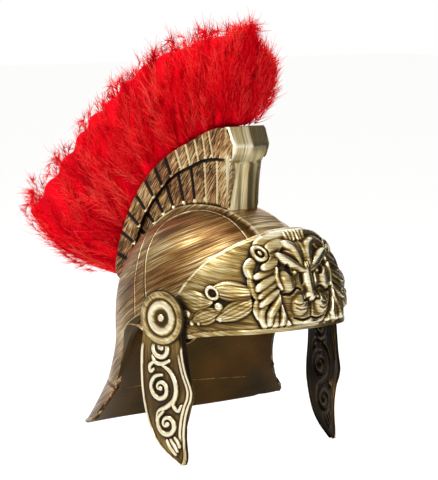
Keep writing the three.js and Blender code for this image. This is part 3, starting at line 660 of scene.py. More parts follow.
def make_crest(shape):
    """Both sides as one tube: rings run over each side in turn, from the front to the rear."""
    lean = np.linspace(-8, 78.5, CREST_COLUMNS)[:, None]
    step, top = (part[:, None] * CREST_HEIGHT for part in rows_at(CREST_ROWS, lean[:, 0]))
    head = CREST_HEAD_HALF + (CREST_TOP_HALF - CREST_HEAD_HALF) * ease(lean, -12, 6)
    low_share = np.linspace(0, 1, LOW_ROWS)[None, :]
    high_share = np.linspace(0, 1, HIGH_ROWS)[None, :]
    radius = BOWL_HEIGHT + 20
    low_cut, low_paint = groove_cut(lean, low_share, LOWER_GROOVES, radius, LOW_HIGHLIT_TO)
    high_cut, high_paint = groove_cut(lean, high_share, UPPER_GROOVES, radius + 25, HIGH_HIGHLIT_TO)
    low_cut = low_cut * (step > 4)
    high_cut = high_cut * (0.3 + 0.7 * ease(high_share, 0, 0.08))
    low_x = CREST_FOOT_HALF - GROOVE_DEPTH * low_cut - TIER_CHAMFER * (low_share < 0.01)
    high_x = (CREST_TOP_HALF + (head - CREST_TOP_HALF) * high_share - GROOVE_DEPTH * high_cut
              - TIER_CHAMFER * ((high_share < 0.01) | (high_share > 0.99)))
    low_rise = np.where(low_share < 0.01, -1.5, low_share * step)
    low = crest_point(low_x, lean + 0 * low_share, low_rise)
    high = crest_point(high_x, lean + 0 * high_share, step + high_share * (top - step))
    # Each pin hole is a round dark spot: painted shade in place of a hole.
    for middle, share in PIN_HOLES:
        off = np.hypot(np.radians(lean - middle) * radius, (low_share - share) * step)
        low_paint = np.where(off < PIN_RADIUS, -1.0, low_paint)
    # Where a groove painted dark ends, its lower corner is painted bright. The foot row and the top
    # of the lower tier, under the upper tier's ledge, are painted dark: painted shade.
    bright_groove_foot = (low_share > 0.03) & (low_share < 0.1) & (low_paint < FILLED)
    low_paint = np.where(bright_groove_foot, 1.0, low_paint)
    low_paint = np.where(low_share < 0.03, -0.8, low_paint)
    low_paint = np.where(low_share > 0.92, -0.9, low_paint)
    high_paint = np.where((high_paint < FILLED) & (high_share < 0.12), 1.0, high_paint)
    side = np.concatenate([low, high], axis=1)
    paint = np.concatenate([low_paint, high_paint], axis=1)
    front = side[0].copy()
    share = np.clip((front[:, 2] - HEAD_FOOT) / (HEAD_TOP - HEAD_FOOT), 0, 1)
    forward, _ = rows_at(HEAD_ROWS, share)
    front[:, 1] = np.minimum(forward + 0.8, front[:, 1] - 1)
    side = np.concatenate([front[None], (front + side[0])[None] / 2, side])
    paint = np.concatenate([0 * paint[:2] + 0.2, paint])
    shape.tube(np.concatenate([side, side[:, ::-1] * (-1, 1, 1)], axis=1),
               np.concatenate([paint, paint[:, ::-1]], axis=1), flip=True)


def make_crest_head(shape):
    share = np.linspace(0, 1, 90)[:, None]
    forward, half = (part[:, None] for part in rows_at(HEAD_ROWS, share[:, 0]))
    across = np.linspace(-1, 1, 41)[None, :]
    prow = PROW * (1 - np.abs(across))
    bevel = 2.6 * ease(np.abs(across), 0.86, 1.0) ** 1.5
    rise = HEAD_FOOT + share * (HEAD_TOP - HEAD_FOOT) + 0 * across
    wave = 0.35 * np.sin(across * 9 + 1.0) * (share < 0.58)
    face = np.stack([across * half, forward - prow + bevel - wave, rise], axis=-1)
    back = np.stack([across * (half - 0.3), forward + HEAD_SKIN + 0 * across, rise], axis=-1)
    edge = 0.8 * peak(np.abs(across), 0.93, 0.05)
    fold = 0.8 * peak(share, 0.785, 0.02)
    notch = -0.7 * peak(share, 0.6, 0.015) * (np.abs(across) > 0.5)
    paint = np.clip(edge + fold + notch + 0.25, -1, 1)
    shape.plate(face, back[[0, -1]], paint=paint, inner_paint=0.0)


# Short steep strokes of copper brown between black grooves: rough and dull.
crest_gilt = gilt("gilt_crest_brushed_copper",
                  [(0.0, "#e2d6ac"), (0.26, "#b8935e"), (0.5, "#8c6437"), (0.62, "#463015"),
                   (1.0, "#140d06")],
                  (math.radians(-52), 0.0, 0.0), stroke_mm=1.4, stroke_run_mm=13, stain=0.5,
                  brushed=2.2, relief_weight=0.7, ruddy=0.35)
# Long upright strokes in pale gold: the brightest plain face of the helmet.
head_gilt = gilt("gilt_crest_head_bright",
                 [(0.0, "#ece3c6"), (0.35, "#bfab76"), (0.55, "#8d7440"), (0.8, "#574220"),
                  (1.0, "#2a1e0d")],
                 (0.0, math.radians(90), 0.0), stroke_mm=1.3, stroke_run_mm=60, stain=0.42,
                 brushed=1.2)
crest_shape = Shape()
make_crest(crest_shape)
crest_sides = crest_shape.piece("crest_box_sides", crest_gilt, crease=35)
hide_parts("crest_box")
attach(crest_sides, "helmet")
head_shape = Shape()
make_crest_head(head_shape)
crest_head = head_shape.piece("crest_head", head_gilt, crease=35)
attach(crest_head, "helmet")


# Face band: one embossed moulding that swings on the temple rivets. A lion's mask stands
# out at its middle, laurel leaves and berries lie beside it, and both long edges are rolled.
VISOR_HALF_WIDTH = 95.2
VISOR_HALF_LENGTH = 117.5
VISOR_FULLNESS = 2.5
VISOR_TOP = 96.0
VISOR_WALL = 1.8
PIVOT_Y = -32.4
PIVOT_Z = 16.1
VISOR_ROWS = [
    (-0.1, 1, 1.002), (0.06, 1, 1), (0.17, 1, 0.992), (0.38, 0.99, 0.972), (0.52, 0.96, 0.94),
    (0.7, 0.84, 0.895), (0.85, 0.7, 0.835), (1, 0.56, 0.757),
]
EAR_TURN = math.degrees(math.acos((-PIVOT_Y / VISOR_HALF_LENGTH) ** (VISOR_FULLNESS / 2)))
EAR_END = 83.2
PIVOT_SHARE = PIVOT_Z / VISOR_TOP
EAR_SHARE = 14.0 / VISOR_TOP
# Both edges of the band from its middle to its ears: turn, low share, high share.
BAND_ROWS = [
    (-1, 0.0625, 1), (15, 0.06, 0.985), (30, 0.05, 0.935), (45, 0.04, 0.855), (59, 0.012, 0.71),
    (67, -0.015, 0.53), (73, PIVOT_SHARE - EAR_SHARE * 1.1, 0.38),
    *[(turn, PIVOT_SHARE - EAR_SHARE * part, PIVOT_SHARE + EAR_SHARE * part)
      for turn, part in ((EAR_TURN, 1), (82, 0.72), (EAR_END, 0.4))],
]
# Widths of the rolled upper edge and of the flat flange below, and where the mask ends.
ROLL_HALF = 1.8
FLANGE_TALL = 4.4
LION_SIDE = 52
FLANGE_THICK = 1.1
# Room under a guard that lets the leaves and the flange stand at their full height.
LEAF_ROOM = 4.8
FLANGE_ROOM = 1.6
BAND_BARE = 0.3
ROLL_BARE = 0.5


def visor_point(turn, share):
    wide, long = rows_at(VISOR_ROWS, share)
    power = 2 / VISOR_FULLNESS
    across = np.sign(turn) * np.abs(np.sin(turn)) ** power
    along = np.abs(np.cos(turn)) ** power
    return np.stack([VISOR_HALF_WIDTH * wide * across, -VISOR_HALF_LENGTH * long * along,
                     share * VISOR_TOP], axis=-1)


# The guards swing past the band, so its relief stays under their inner faces.
PIVOT_X = float(visor_point(np.array([math.radians(EAR_TURN)]), np.array([PIVOT_SHARE]))[0, 0])
GUARD_LENGTH = 134.0
GUARD_STAND_OFF = 3.6
GUARD_TILT = math.radians(12)
GUARD_CAMBER = 2.4
GUARD_TOP = 24.0
GUARD_SPACE = 0.4
BAND_TILTS = np.radians([-20, -13, -6, 0, 6, 12, 18])


def room_under_guard(points):
    """Least height between points of the band and a guard's inner face, however they swing."""
    c, s = math.cos(GUARD_TILT), math.sin(GUARD_TILT)
    wide = np.abs(points[..., 0]) - PIVOT_X
    long, up = points[..., 1] - PIVOT_Y, points[..., 2] - PIVOT_Z
    room = np.full(wide.shape, 99.0)
    for tilt in BAND_TILTS:
        back = long * np.cos(tilt) - up * np.sin(tilt)
        rise = up * np.cos(tilt) + long * np.sin(tilt)
        reach = np.hypot(s * wide + c * back, rise)
        inner_face = GUARD_STAND_OFF - GUARD_CAMBER * ease(reach / GUARD_LENGTH, 0.3, 0.62)
        free = inner_face - GUARD_SPACE - (c * wide - s * back)
        room = np.where(rise < GUARD_TOP, np.minimum(room, free), room)
    return room


def bump(x, y, half_x, half_y, turn=0.0, power=0.5):
    """A rounded swelling, 1 at its middle and 0 at its outline."""
    c, s = math.cos(math.radians(turn)), math.sin(math.radians(turn))
    u, v = (x * c + y * s) / half_x, (y * c - x * s) / half_y
    return np.clip(1 - u * u - v * v, 0, 1) ** power


def over(low, high, soft=0.8):
    """The higher of two reliefs, blended where they meet."""
    gap = np.clip(0.5 + 0.5 * (high - low) / soft, 0, 1)
    return low * (1 - gap) + high * gap + soft * gap * (1 - gap)


def stroke(x, z, half, rows, count=26):
    """1 along the middle of a stroke through the rows, 0 beyond its half-width."""
    path = smooth_path(rows, count)
    width = half * (0.55 + 0.45 * np.sin(np.linspace(0, math.pi, count)) ** 0.6)
    near = np.full(x.shape, 9.0)
    box = ((x > path[:, 0].min() - half) & (x < path[:, 0].max() + half)
           & (z > path[:, 1].min() - half) & (z < path[:, 1].max() + half))
    off = np.hypot(x[box][:, None] - path[:, 0], z[box][:, None] - path[:, 1]) / width
    near[box] = off.min(axis=1)
    return np.clip(1 - near ** 2, 0, 1)


# The mane's locks on one side: half-width, height, then points from the face outwards.
LOCKS = [
    (5.6, 6.2, [(0, 90), (13.5, 88), (28, 84.5), (38, 79.5)]),
    (6.6, 7.8, [(10, 80), (21, 79.5), (31, 75.5)]),
    (3.0, 7.4, [(10.4, 89), (9.6, 84.5), (10, 80)]), (2.7, 7.8, [(1.9, 90.5), (2, 86.5), (3, 81)]),
    (2.7, 7.2, [(6.2, 90), (5.8, 86), (6.4, 80.5)]),
    (4.6, 7.4, [(20, 74.5), (28, 70.8), (36, 67.5)]),
    (5.6, 8.6, [(22, 69), (31, 64.5), (40, 60.5)]),
    (4.4, 7.4, [(29, 60), (39, 56.6), (48.5, 53.5)]),
    (5.0, 8.6, [(29, 54.5), (39, 49.5), (49, 43.5)]),
    (4.4, 7.4, [(31.5, 47.5), (40.5, 42.8), (48, 37.5)]),
    (4.6, 7.8, [(31, 41.5), (40, 36), (47.5, 30.5)]),
    (4.8, 8.4, [(29, 38), (34.5, 29.5), (39.5, 22), (41.5, 13.5)]),
    (4.6, 8.8, [(24.5, 37.5), (27, 30.5), (27.5, 22.5), (30, 13)]),
    (4.2, 7.6, [(20.5, 28), (20.5, 20), (22.5, 12)]),
    (3.9, 6.0, [(42.5, 30.5), (46.6, 25.5), (47, 18.5), (45, 11.5)]),
    (3.9, 7.0, [(34.5, 28.5), (34.5, 20), (36, 10.5)]),
    (4.6, 5.4, [(46, 68), (52, 61), (52, 53.5)]), (4.2, 5.0, [(53, 52), (52, 44.5), (49.5, 37)]),
    (3.8, 4.6, [(50, 34.5), (51, 26.5), (48.5, 18)]),
]
# The face's ridges on one side, in the same way.
FEATURES = [
    (6.4, 11.2, [(15, 80), (9, 76.5), (5.8, 69), (4.6, 60)]),
    (5.8, 11.8, [(25, 70.5), (18.5, 66.4), (11.5, 62), (2, 57)]),
    (7.6, 12.2, [(0, 62), (0, 49), (0, 36)]), (4.0, 9.4, [(29, 60.5), (30.5, 52), (28, 43)]),
]
# Its grooves: half-width, depth and points.
GROOVES = [
    (1.6, 1.9, [(18, 74), (12.5, 69.5), (8, 64)]), (1.3, 2.0, [(0, 83), (0, 70), (0, 60)]),
    (2.4, 2.6, [(19.5, 62.5), (18.6, 57.5), (16, 53.5)]),
    (2.2, 2.8, [(7.8, 55), (6.8, 52), (7.4, 46)]),
    (1.4, 2.0, [(28, 39), (20.5, 38.5), (14, 42.5), (9.6, 41)]),
    (1.1, 1.8, [(0, 30), (0, 24), (0, 18.5)]), (1.3, 1.8, [(0, 17.5), (8, 15.2), (18, 17.8)]),
    (1.4, 2.0, [(3.2, 34.5), (8.4, 32.4), (9.4, 37)]), (0.9, 0.9, [(8, 26), (13, 24.6), (18, 27)]),
    (0.9, 0.9, [(10, 30.5), (14.5, 29), (19, 31)]),
]


# Its swellings: rise, blend, middle across and up, half-sizes, turn in degrees and fullness.
CHEEKS = [(10.0, 1.2, 0, 70, 20, 13, 0, 0.3), (11.2, 0.8, 21, 49, 9.5, 12.0, -14, 0.4),
          (12.2, 0.8, 11.5, 29, 10.8, 12.0, 14, 0.4)]
MUZZLE = [(13.4, 0.8, 0, 36, 8.8, 6.4, 0, 0.4), (9.6, 0.7, 0, 12.5, 11, 5.4, 0, 0.5)]
EYE = (10.2, 0.3, 12.6, 56.6, 4.0, 3.8, 0, 0.4)


def swelled(h, x, z, rise, blend, x0, z0, half_x, half_z, turn, power):
    return over(h, rise * bump(x - x0, z - z0, half_x, half_z, turn, power), blend)


def lion_relief(x, z):
    """Height of the lion's mask over the band: x from its middle, z up from the pivot's level."""
    x = np.abs(x)
    reach = np.hypot(x / 51, (z - 49.5) / 42.5)
    h = 3.4 * (1 - ease(reach, 0.96, 1.02))
    for half, rise, rows in LOCKS:
        lock = stroke(x, z, half, rows)
        h = np.maximum(h, np.where(lock > 0, 3.2 + (rise - 3.2) * lock ** 0.6, 0))
    ear = np.hypot(x - 38.5, z - 73)
    h = np.where(ear < 7.2, 3.6 + 3.8 * rounded(ear, 5, 2.2), h)
    h = np.maximum(h, 7.6 * bump(x - 38.5, z - 73, 3.4, 3.4))
    inner = np.abs(x / 29) ** 2.4 + np.abs((z - 43.5) / 37) ** 2.4
    h = np.where(inner < 1.15, h * (0.55 + 0.45 * ease(inner, 1.0, 1.15)), h)
    h = over(h, 9.0 * np.clip(1 - inner, 0, 1) ** 0.3, 0.5)
    for swelling in CHEEKS:
        h = swelled(h, x, z, *swelling)
    for half, rise, rows in FEATURES:
        h = over(h, rise * stroke(x, z, half, rows) ** 0.4, 0.8)
    for swelling in MUZZLE:
        h = swelled(h, x, z, *swelling)
    for half, depth, rows in GROOVES:
        h = h - depth * stroke(x, z, half, rows) ** 0.8
    h = h - 1.8 * bump(x - 4.4, z - 33, 2.3, 1.7, 0, 1)
    return np.maximum(swelled(h, x, z, *EYE), 0)


# Leaves and berries on each side: along the band from its middle, height, half-length,
# half-width, tilt in degrees and rise.
LEAF_ROWS = [
    (108, 33, 20, 10.0, -2, 4.2), (69.5, 42.5, 20.5, 9.4, 2, 4.6), (97, 20.5, 15.5, 8.2, -20, 4.0),
    (68, 27, 21.5, 8.8, -26, 4.6),
]
BERRY_ROWS = [
    (84, 29.5, 4.6), (117, 21.5, 4.0), (112, 13.5, 3.2), (83.5, 18.5, 3.2), (104, 13.5, 2.2),
]


def leaf_relief(run, z):
    h = 0 * run
    for middle, up, half, wide, tilt, rise in LEAF_ROWS:
        c, s = math.cos(math.radians(tilt)), math.sin(math.radians(tilt))
        u, v = (run - middle) * c + (z - up) * s, (z - up) * c - (run - middle) * s
        taper = np.clip(1 - (u / half) ** 2, 0, 1) ** 0.8
        inside = np.clip(1 - np.abs(v) / np.maximum(wide * taper, 1e-3), 0, 1)
        blade = rise * np.where(taper > 0, inside, 0) ** 0.36
        vein = 0.5 * np.exp(-(v / 0.8) ** 2) * (inside > 0.1)
        ribs = 0.28 * np.cos(v / np.maximum(taper, 0.35) * 1.9) * (inside > 0.12)
        h = np.maximum(h, blade - vein + ribs)
    for middle, up, radius in BERRY_ROWS:
        h = np.maximum(h, 4.8 * bump(run - middle, z - up, radius, radius))
    curl = np.hypot(run - 87.5, z - 41)
    h = np.where(curl < 6.2, 1.0, h)
    return np.maximum(h, 4.4 * rounded(curl, 4.8, 1.9))


def make_visor(shape):
    """A grid over the band, finer across the mask, raised by all that is embossed on it."""
    fine = np.concatenate([np.linspace(0, 34, 120, endpoint=False), np.linspace(34, EAR_END, 130)])
    turns = np.concatenate([-fine[:0:-1], fine])[None, :]
    across = np.concatenate([np.linspace(0, 0.06, 8, endpoint=False),
                             np.linspace(0.06, 0.94, 112, endpoint=False),
                             np.linspace(0.94, 1, 9)])[:, None]
    low, high = rows_at(BAND_ROWS, np.abs(turns[0]))
    share = low + (high - low) * across
    base = visor_point(np.radians(turns + 0 * across), share)
    normals = grid_normals(base)
    steps = np.linalg.norm(np.diff(base, axis=1), axis=2)
    run = np.concatenate([np.zeros((len(base), 1)), np.cumsum(steps, axis=1)], axis=1)
    run = np.abs(run - run[:, [run.shape[1] // 2]])
    z = share * VISOR_TOP
    tall = (high - low) * VISOR_TOP
    from_low, from_high = across * tall, (1 - across) * tall
    border = ease(from_low, 2.5, 6.5) * ease(from_high, 1.5, 4.5)
    leaves = leaf_relief(run, z) * ease(run, LION_SIDE, LION_SIDE + 4)
    room = room_under_guard(base) - VISOR_WALL / 2
    relief = border * np.maximum(lion_relief(run, z), leaves * np.clip(room / LEAF_ROOM, 0.1, 1))
    flange = FLANGE_THICK * (1 - ease(from_low, FLANGE_TALL - 0.8, FLANGE_TALL))
    flange = flange * np.clip(room / FLANGE_ROOM, 0.1, 1)
    rise = relief + rounded(from_high, ROLL_HALF, ROLL_HALF) + flange
    paint = np.clip(0.42 * (rise - blurred(rise, 50)) + 0.95 * (rise - blurred(rise, 6)), -1, 1)
    paint = np.where(from_low < FLANGE_TALL, np.maximum(paint, BAND_BARE), paint)
    paint = np.where(from_high < 4, np.maximum(paint, ROLL_BARE), paint)
    inside = base - normals * VISOR_WALL / 2
    shape.plate(base + normals * (VISOR_WALL / 2 + rise)[..., None],
                inside[np.linspace(0, len(base) - 1, 10).astype(int)], paint=paint)


# Pale gold ridges over black hollows: the sharpest contrast on the helmet, half polished.
visor_gilt = gilt("gilt_band_embossed",
                  [(0.0, "#ece3c8"), (0.2, "#cbbb8c"), (0.42, "#917842"), (0.6, "#5f4720"),
                   (0.8, "#33230e"), (1.0, "#160e06")],
                  (math.radians(12), 0.0, 0.0), stroke_mm=0.8, stroke_run_mm=20, stain=0.45,
                  brushed=1.0, relief_weight=0.5, roughness=0.26)
visor_shape = Shape()
make_visor(visor_shape)
visor = visor_shape.piece("face_band", visor_gilt, crease=60)
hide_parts("visor")
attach(visor, "visor")


# Cheek guards: hanging plates of the same moulding, cambered across, with a raised double
# border and scrolls that run down the middle to a leaf and a blunt tip.
GUARD_HALF = 22.0
GUARD_WALL = 2.2
# Outline from the tip up: share of the length, back and front in half-widths.
GUARD_ROWS = [
    (-1, 0.88, 1.1), (-0.975, 0.61, 1.17), (-0.93, 0.08, 1.19), (-0.86, -0.44, 1.14),
    (-0.78, -0.76, 1.11), (-0.7, -0.96, 1.16), (-0.61, -1.12, 1.3), (-0.54, -1.18, 1.49),
    (-0.48, -1.21, 1.53), (-0.37, -1.2, 1.28), (-0.24, -1.17, 1.08), (-0.1, -1.05, 1.0),
    (0, -1, 1), (0.06, -0.93, 0.93), (0.11, -0.75, 0.75), (0.145, -0.47, 0.47), (0.16, -0.2, 0.2),
]


def pivot_place(side, forward, up, out):
    """A point from the pivot's centre: forward along the guard, up, and out of the head."""
    c, s = math.cos(GUARD_TILT), math.sin(GUARD_TILT)
    x = side * (PIVOT_X - s * forward + c * out)
    y = PIVOT_Y - c * forward - s * out
    return np.stack([x, y, PIVOT_Z + up + 0 * x], axis=-1)


# Scrolls: centre forward and up from the pivot, first and last radius, first and last angle.
SCROLL_ROWS = [
    (-1.4, -28, 2.0, 10.5, 560, 150), (-2.6, -65.5, 2.2, 13.0, 560, 80),
    (5.2, -98, 2.0, 12.2, 610, 110),
]
# Stems and hooks that join them: half-width and points.
STEM_ROWS = [
    (2.3, [(-11.5, -36), (-8, -42), (0, -42.5), (8, -39)]),
    (2.2, [(-9, -41), (-14.5, -45), (-14, -50.5), (-10.5, -48.5)]),
    (2.6, [(0, -43.5), (10, -50), (15.5, -62), (13.5, -74), (4.5, -82), (-4.5, -87), (-7, -96)]),
    (2.0, [(14.5, -72), (12.5, -80), (17.5, -84.5), (21, -79)]),
    (1.9, [(5, -113), (9, -119), (15.5, -125)]),
    (1.8, [(9.5, -111.5), (13.5, -116.5), (17.5, -122)]),
    (1.7, [(14, -109.5), (17.5, -113.5), (19.5, -118)]),
]


SCROLL_HALF = 2.5
SCROLL_RISE = 2.3


def scroll_relief(s, h):
    """Scrolls and stems, rounded across, with a round boss at the middle of each scroll."""
    rise = 0 * s
    paths = list(STEM_ROWS)
    for middle, up, first, last, start, end in SCROLL_ROWS:
        turn = np.linspace(0, 1, 12)
        radius = first + (last - first) * turn ** 0.8
        angle = np.radians(start + (end - start) * turn)
        spiral = np.stack([middle + radius * np.cos(angle), up + radius * np.sin(angle)], axis=-1)
        paths.append((SCROLL_HALF, spiral.tolist()))
    for half, rows in paths:
        rise = np.maximum(rise, SCROLL_RISE * stroke(s, h, half, rows, 70) ** 0.5)
    for middle, up, *_ in SCROLL_ROWS:
        rise = np.maximum(rise, 2.5 * bump(s - middle, h - up, 2.6, 2.6))
    return rise


def make_guard(shape, side):
    share = np.concatenate([np.linspace(-1, 0.1, 190), np.linspace(0.105, 0.16, 8)])[:, None]
    back, front = (part[:, None] * GUARD_HALF for part in rows_at(GUARD_ROWS, share[:, 0]))
    across = np.linspace(0, 1, 76)[None, :]
    s = back + (front - back) * across
    h = share * GUARD_LENGTH + 0 * across
    camber = -GUARD_CAMBER * (2 * across - 1) ** 2 * ease(-share, 0.3, 0.62)
    edge = np.minimum(s - back, front - s)
    border = 1.3 * rounded(edge, 1.5, 1.5)
    second = 1.2 * rounded(front - s, 5.4, 1.6) * (front - back > 24)
    second = second * ease(-h, 30, 40) * (1 - ease(-h, 105, 116))
    field = scroll_relief(s, h) * ease(edge, 3.0, 4.5)
    # Nothing is raised under the roundel.
    rise = ease(-h, 24, 30) * np.maximum(border + second, field)
    hollow = (rise - blurred(rise, 8)) * 1.5
    paint = np.clip(hollow + 0.3 * (rise > 0.6) - 0.3 * (rise < 0.2), -1, 1)
    seat = GUARD_STAND_OFF + camber
    picks = [*range(0, len(share) - 1, 2), len(share) - 1]
    outer = pivot_place(side, s, h, seat + GUARD_WALL + rise)
    inner = pivot_place(side, s, h, seat + 0.8 * rise)[picks]
    # The inside is painted almost black, painted shade, with pale painted highlights along its own
    # ridges.
    inner_paint = np.clip(-0.95 - 0.7 * hollow, -1, 0.1)[picks]
    turned = slice(None, None, -side)
    shape.plate(outer[:, turned], inner[:, turned], paint=paint[:, turned],
                inner_paint=inner_paint[:, turned])


# Gold scrolls on a dark ground, a little duller than the face band.
guard_gilt = gilt("gilt_guard_embossed",
                  [(0.0, "#e2d8bc"), (0.22, "#c3b284"), (0.42, "#8d7340"), (0.62, "#4e391a"),
                   (1.0, "#140d06")],
                  (math.radians(-90), 0.0, 0.0), stroke_mm=1.0, stroke_run_mm=30, stain=0.46,
                  brushed=0.8, relief_weight=0.55, roughness=0.28)
SIDES = {"right": -1, "left": 1}
for word, side in SIDES.items():
    guard_shape = Shape()
    make_guard(guard_shape, side)
    guard = guard_shape.piece(f"cheek_plate_{word}", guard_gilt, crease=60)
    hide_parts(f"cheek_guard_{word}")
    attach(guard, f"cheek_{word}")


# Roundels and rivets: turned-looking discs over the pivots, with a sharp rim, a bright
# rounded ring and a dark dish, and in each dish the pale head of the rivet.
ROUNDEL_SEAT = GUARD_STAND_OFF + GUARD_WALL + 0.3
# Profiles from the axis outwards and back: radius and height over the guard.
ROUNDEL_ROWS = [
    (3, 1.6), (5.5, 1.5), (7.5, 1.75), (9, 2.6), (10.5, 3.35), (12.5, 3.75), (14.5, 3.4),
    (15.8, 2.4), (17, 2.0), (18, 2.1), (18.8, 2.9), (20.5, 3.2), (21.8, 2.7), (22.6, 2.3),
    (23.4, 2.5), (24.1, 2.3), (24.4, 1.4), (24.2, 0.1), (3, 0.0),
]
RIVET_ROWS = [
    (0, 4.3), (1.6, 4.15), (2.8, 3.6), (3.5, 2.7), (3.65, 1.9), (2.5, 1.85), (2.5, -12.5),
    (5.0, -12.6), (5.0, -13.7), (0, -13.8),
]
# Ring of fine radial cuts round the roundel: how many, how deep, and between which radii.
CUTS = 46
CUT_DEPTH = 0.12
CUT_FROM, CUT_TO = 17.5, 21.5


def make_turned(shape, side, profile, spokes, paints, cut_depth=0.0):
    """A profile turned about the pivot. One that starts off the axis closes on itself."""
    angle = np.linspace(0, 2 * math.pi, spokes, endpoint=False)[None, :]
    radius, out = (part[:, None] for part in np.array(profile, dtype=float).T)
    cuts = cut_depth * np.cos(angle * CUTS) * ((radius > CUT_FROM) & (radius < CUT_TO))
    ring = pivot_place(side, radius * np.cos(angle), radius * np.sin(angle),
                       ROUNDEL_SEAT + out + cuts)
    if side > 0:
        ring = ring[:, ::-1]
    rows = len(ring)
    faces = wall_faces(rows + 1 if profile[0][0] > 0 else rows, spokes) % (rows * spokes)
    shape.add(ring, faces.tolist(), np.repeat(paints, spokes))


# Concentric polish in pale gold, dark in the dish and in the grooves.
disc_gilt = gilt("gilt_roundel_turned",
                 [(0.0, "#e2d8bc"), (0.22, "#c0ae7c"), (0.45, "#896f3d"), (0.68, "#4d3818"),
                  (1.0, "#1a1208")],
                 (math.radians(30), 0.0, 0.0), stroke_mm=1.2, stroke_run_mm=9, stain=0.44,
                 brushed=0.9, relief_weight=0.5, roughness=0.26)
disc_profile = smooth_path(ROUNDEL_ROWS, 64)
disc_paints = [np.clip((h - 2.5) * 0.8 + 0.15 - 0.3 * (16 < r < 22), -1, 1)
               for r, h in disc_profile]
for word, side in SIDES.items():
    disc_shape = Shape()
    make_turned(disc_shape, side, disc_profile, 96, disc_paints, CUT_DEPTH)
    disc = disc_shape.piece(f"roundel_disc_{word}", disc_gilt, crease=50)
    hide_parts(f"roundel_{word}")
    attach(disc, f"cheek_{word}")
    rivet_shape = Shape()
    make_turned(rivet_shape, side, RIVET_ROWS, 40, [0.8] * len(RIVET_ROWS))
    rivet = rivet_shape.piece(f"rivet_{word}", disc_gilt, crease=50)
    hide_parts(f"pivot_rivet_{word}")
    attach(rivet, "helmet")


# Plume: dyed marabou feathers, tied in bunches to a cord that is glued into the crest's top.
# A lobed core carries the mass, and thousands of soft barbs stand on quills that leave it.
PLUME_FRONT = 88.0
PLUME_REACH = 333.0
PLUME_ROOT_HALF = 17.0
PLUME_HALF = 27.0
PLUME_TIP_HALF = 9.0
# Leans of its first and last roots, and how much of its reach is the narrow foot.
PLUME_LEAN = -10.4
PLUME_LEAN_SPAN = 87.4
PLUME_FOOT = 0.14
ROOT_LIFT = 0.3
LOCK_COUNT = 13
CORE_MIDDLE, CORE_REACH = 0.4675, 0.4625
# Tips of the feathers: along the crest, then back and up in shares of reach and front height.
PLUME_ROWS = [
    (0, -0.033, 0.98), (0.1, 0.04, 1), (0.2, 0.135, 0.98), (0.3, 0.234, 0.87), (0.4, 0.34, 0.78),
    (0.5, 0.46, 0.56), (0.6, 0.565, 0.28), (0.7, 0.67, 0.05), (0.8, 0.766, -0.29),
    (0.9, 0.886, -0.69), (1, 1, -1.09),
]
# Thickness at each share of the way out.
PLUME_SECTION = [(0, 0), (0.14, 0.72), (0.36, 1), (0.6, 0.94), (0.82, 0.66), (0.95, 0.34), (1, 0)]


def crest_top(lean):
    _, top = rows_at(CREST_ROWS, lean)
    return crest_point(0.0, lean, top * CREST_HEIGHT)


def plume_at(along, out):
    """Middle point and half-thickness of the plume, along the crest and out from its roots."""
    along, out = np.broadcast_arrays(along, out)
    lean = PLUME_LEAN + PLUME_LEAN_SPAN * along
    root = crest_top(lean)
    root[..., 1] += ROOT_LIFT * np.sin(np.radians(lean))
    root[..., 2] += ROOT_LIFT * np.cos(np.radians(lean))
    head = crest_top(np.array([-10.0]))[0]
    back, up = rows_at(PLUME_ROWS, along)
    tip = np.stack([0 * back, head[1] + back * PLUME_REACH, head[2] + up * PLUME_FRONT], axis=-1)
    reach = tip - root
    length = np.linalg.norm(reach, axis=-1)
    sag = np.sin(math.pi * np.clip(out, 0, 1)) * length * (0.1 - 0.16 * along)
    spot = root + reach * out[..., None]
    spot[..., 1] -= sag * np.where(along < 0.5, 1, 0.4)
    spot[..., 2] += np.where(along > 0.6, 0.9 * sag, 0)
    (thick,) = rows_at(PLUME_SECTION, out)
    half = PLUME_TIP_HALF + (PLUME_HALF - PLUME_TIP_HALF) * thick
    foot_end = PLUME_TIP_HALF + (PLUME_HALF - PLUME_TIP_HALF) * 0.72
    foot = PLUME_ROOT_HALF + (foot_end - PLUME_ROOT_HALF) * out / PLUME_FOOT
    return spot, np.where(out < PLUME_FOOT, foot, half)


def make_plume_core(shape):
    """Rings round the mass of down, one after another along the crest, swelling at each lock."""
    along = np.linspace(0.0, 1.0, 118)[:, None]
    turn = np.linspace(0, 2 * math.pi, 56, endpoint=False)[None, :]
    out = CORE_MIDDLE - CORE_REACH * np.cos(turn)
    lock = np.cos(2 * math.pi * LOCK_COUNT * along + 1.5 * np.sin(3 * out))
    spot, half = plume_at(along, np.clip(out * (1 + 0.02 * lock), 0.004, 1.0))
    side = np.clip(np.sin(turn) * 2.4, -1, 1)
    x = side * (half * 0.86 + 1.1 * lock) * np.where(along < 0.02, 0.7, 1)
    # The core is painted darker than the barbs, darkest between the locks: painted shade deep in
    # the plume.
    shape.tube(np.stack([x, spot[..., 1], spot[..., 2]], axis=-1), -0.3 + 0.15 * lock)


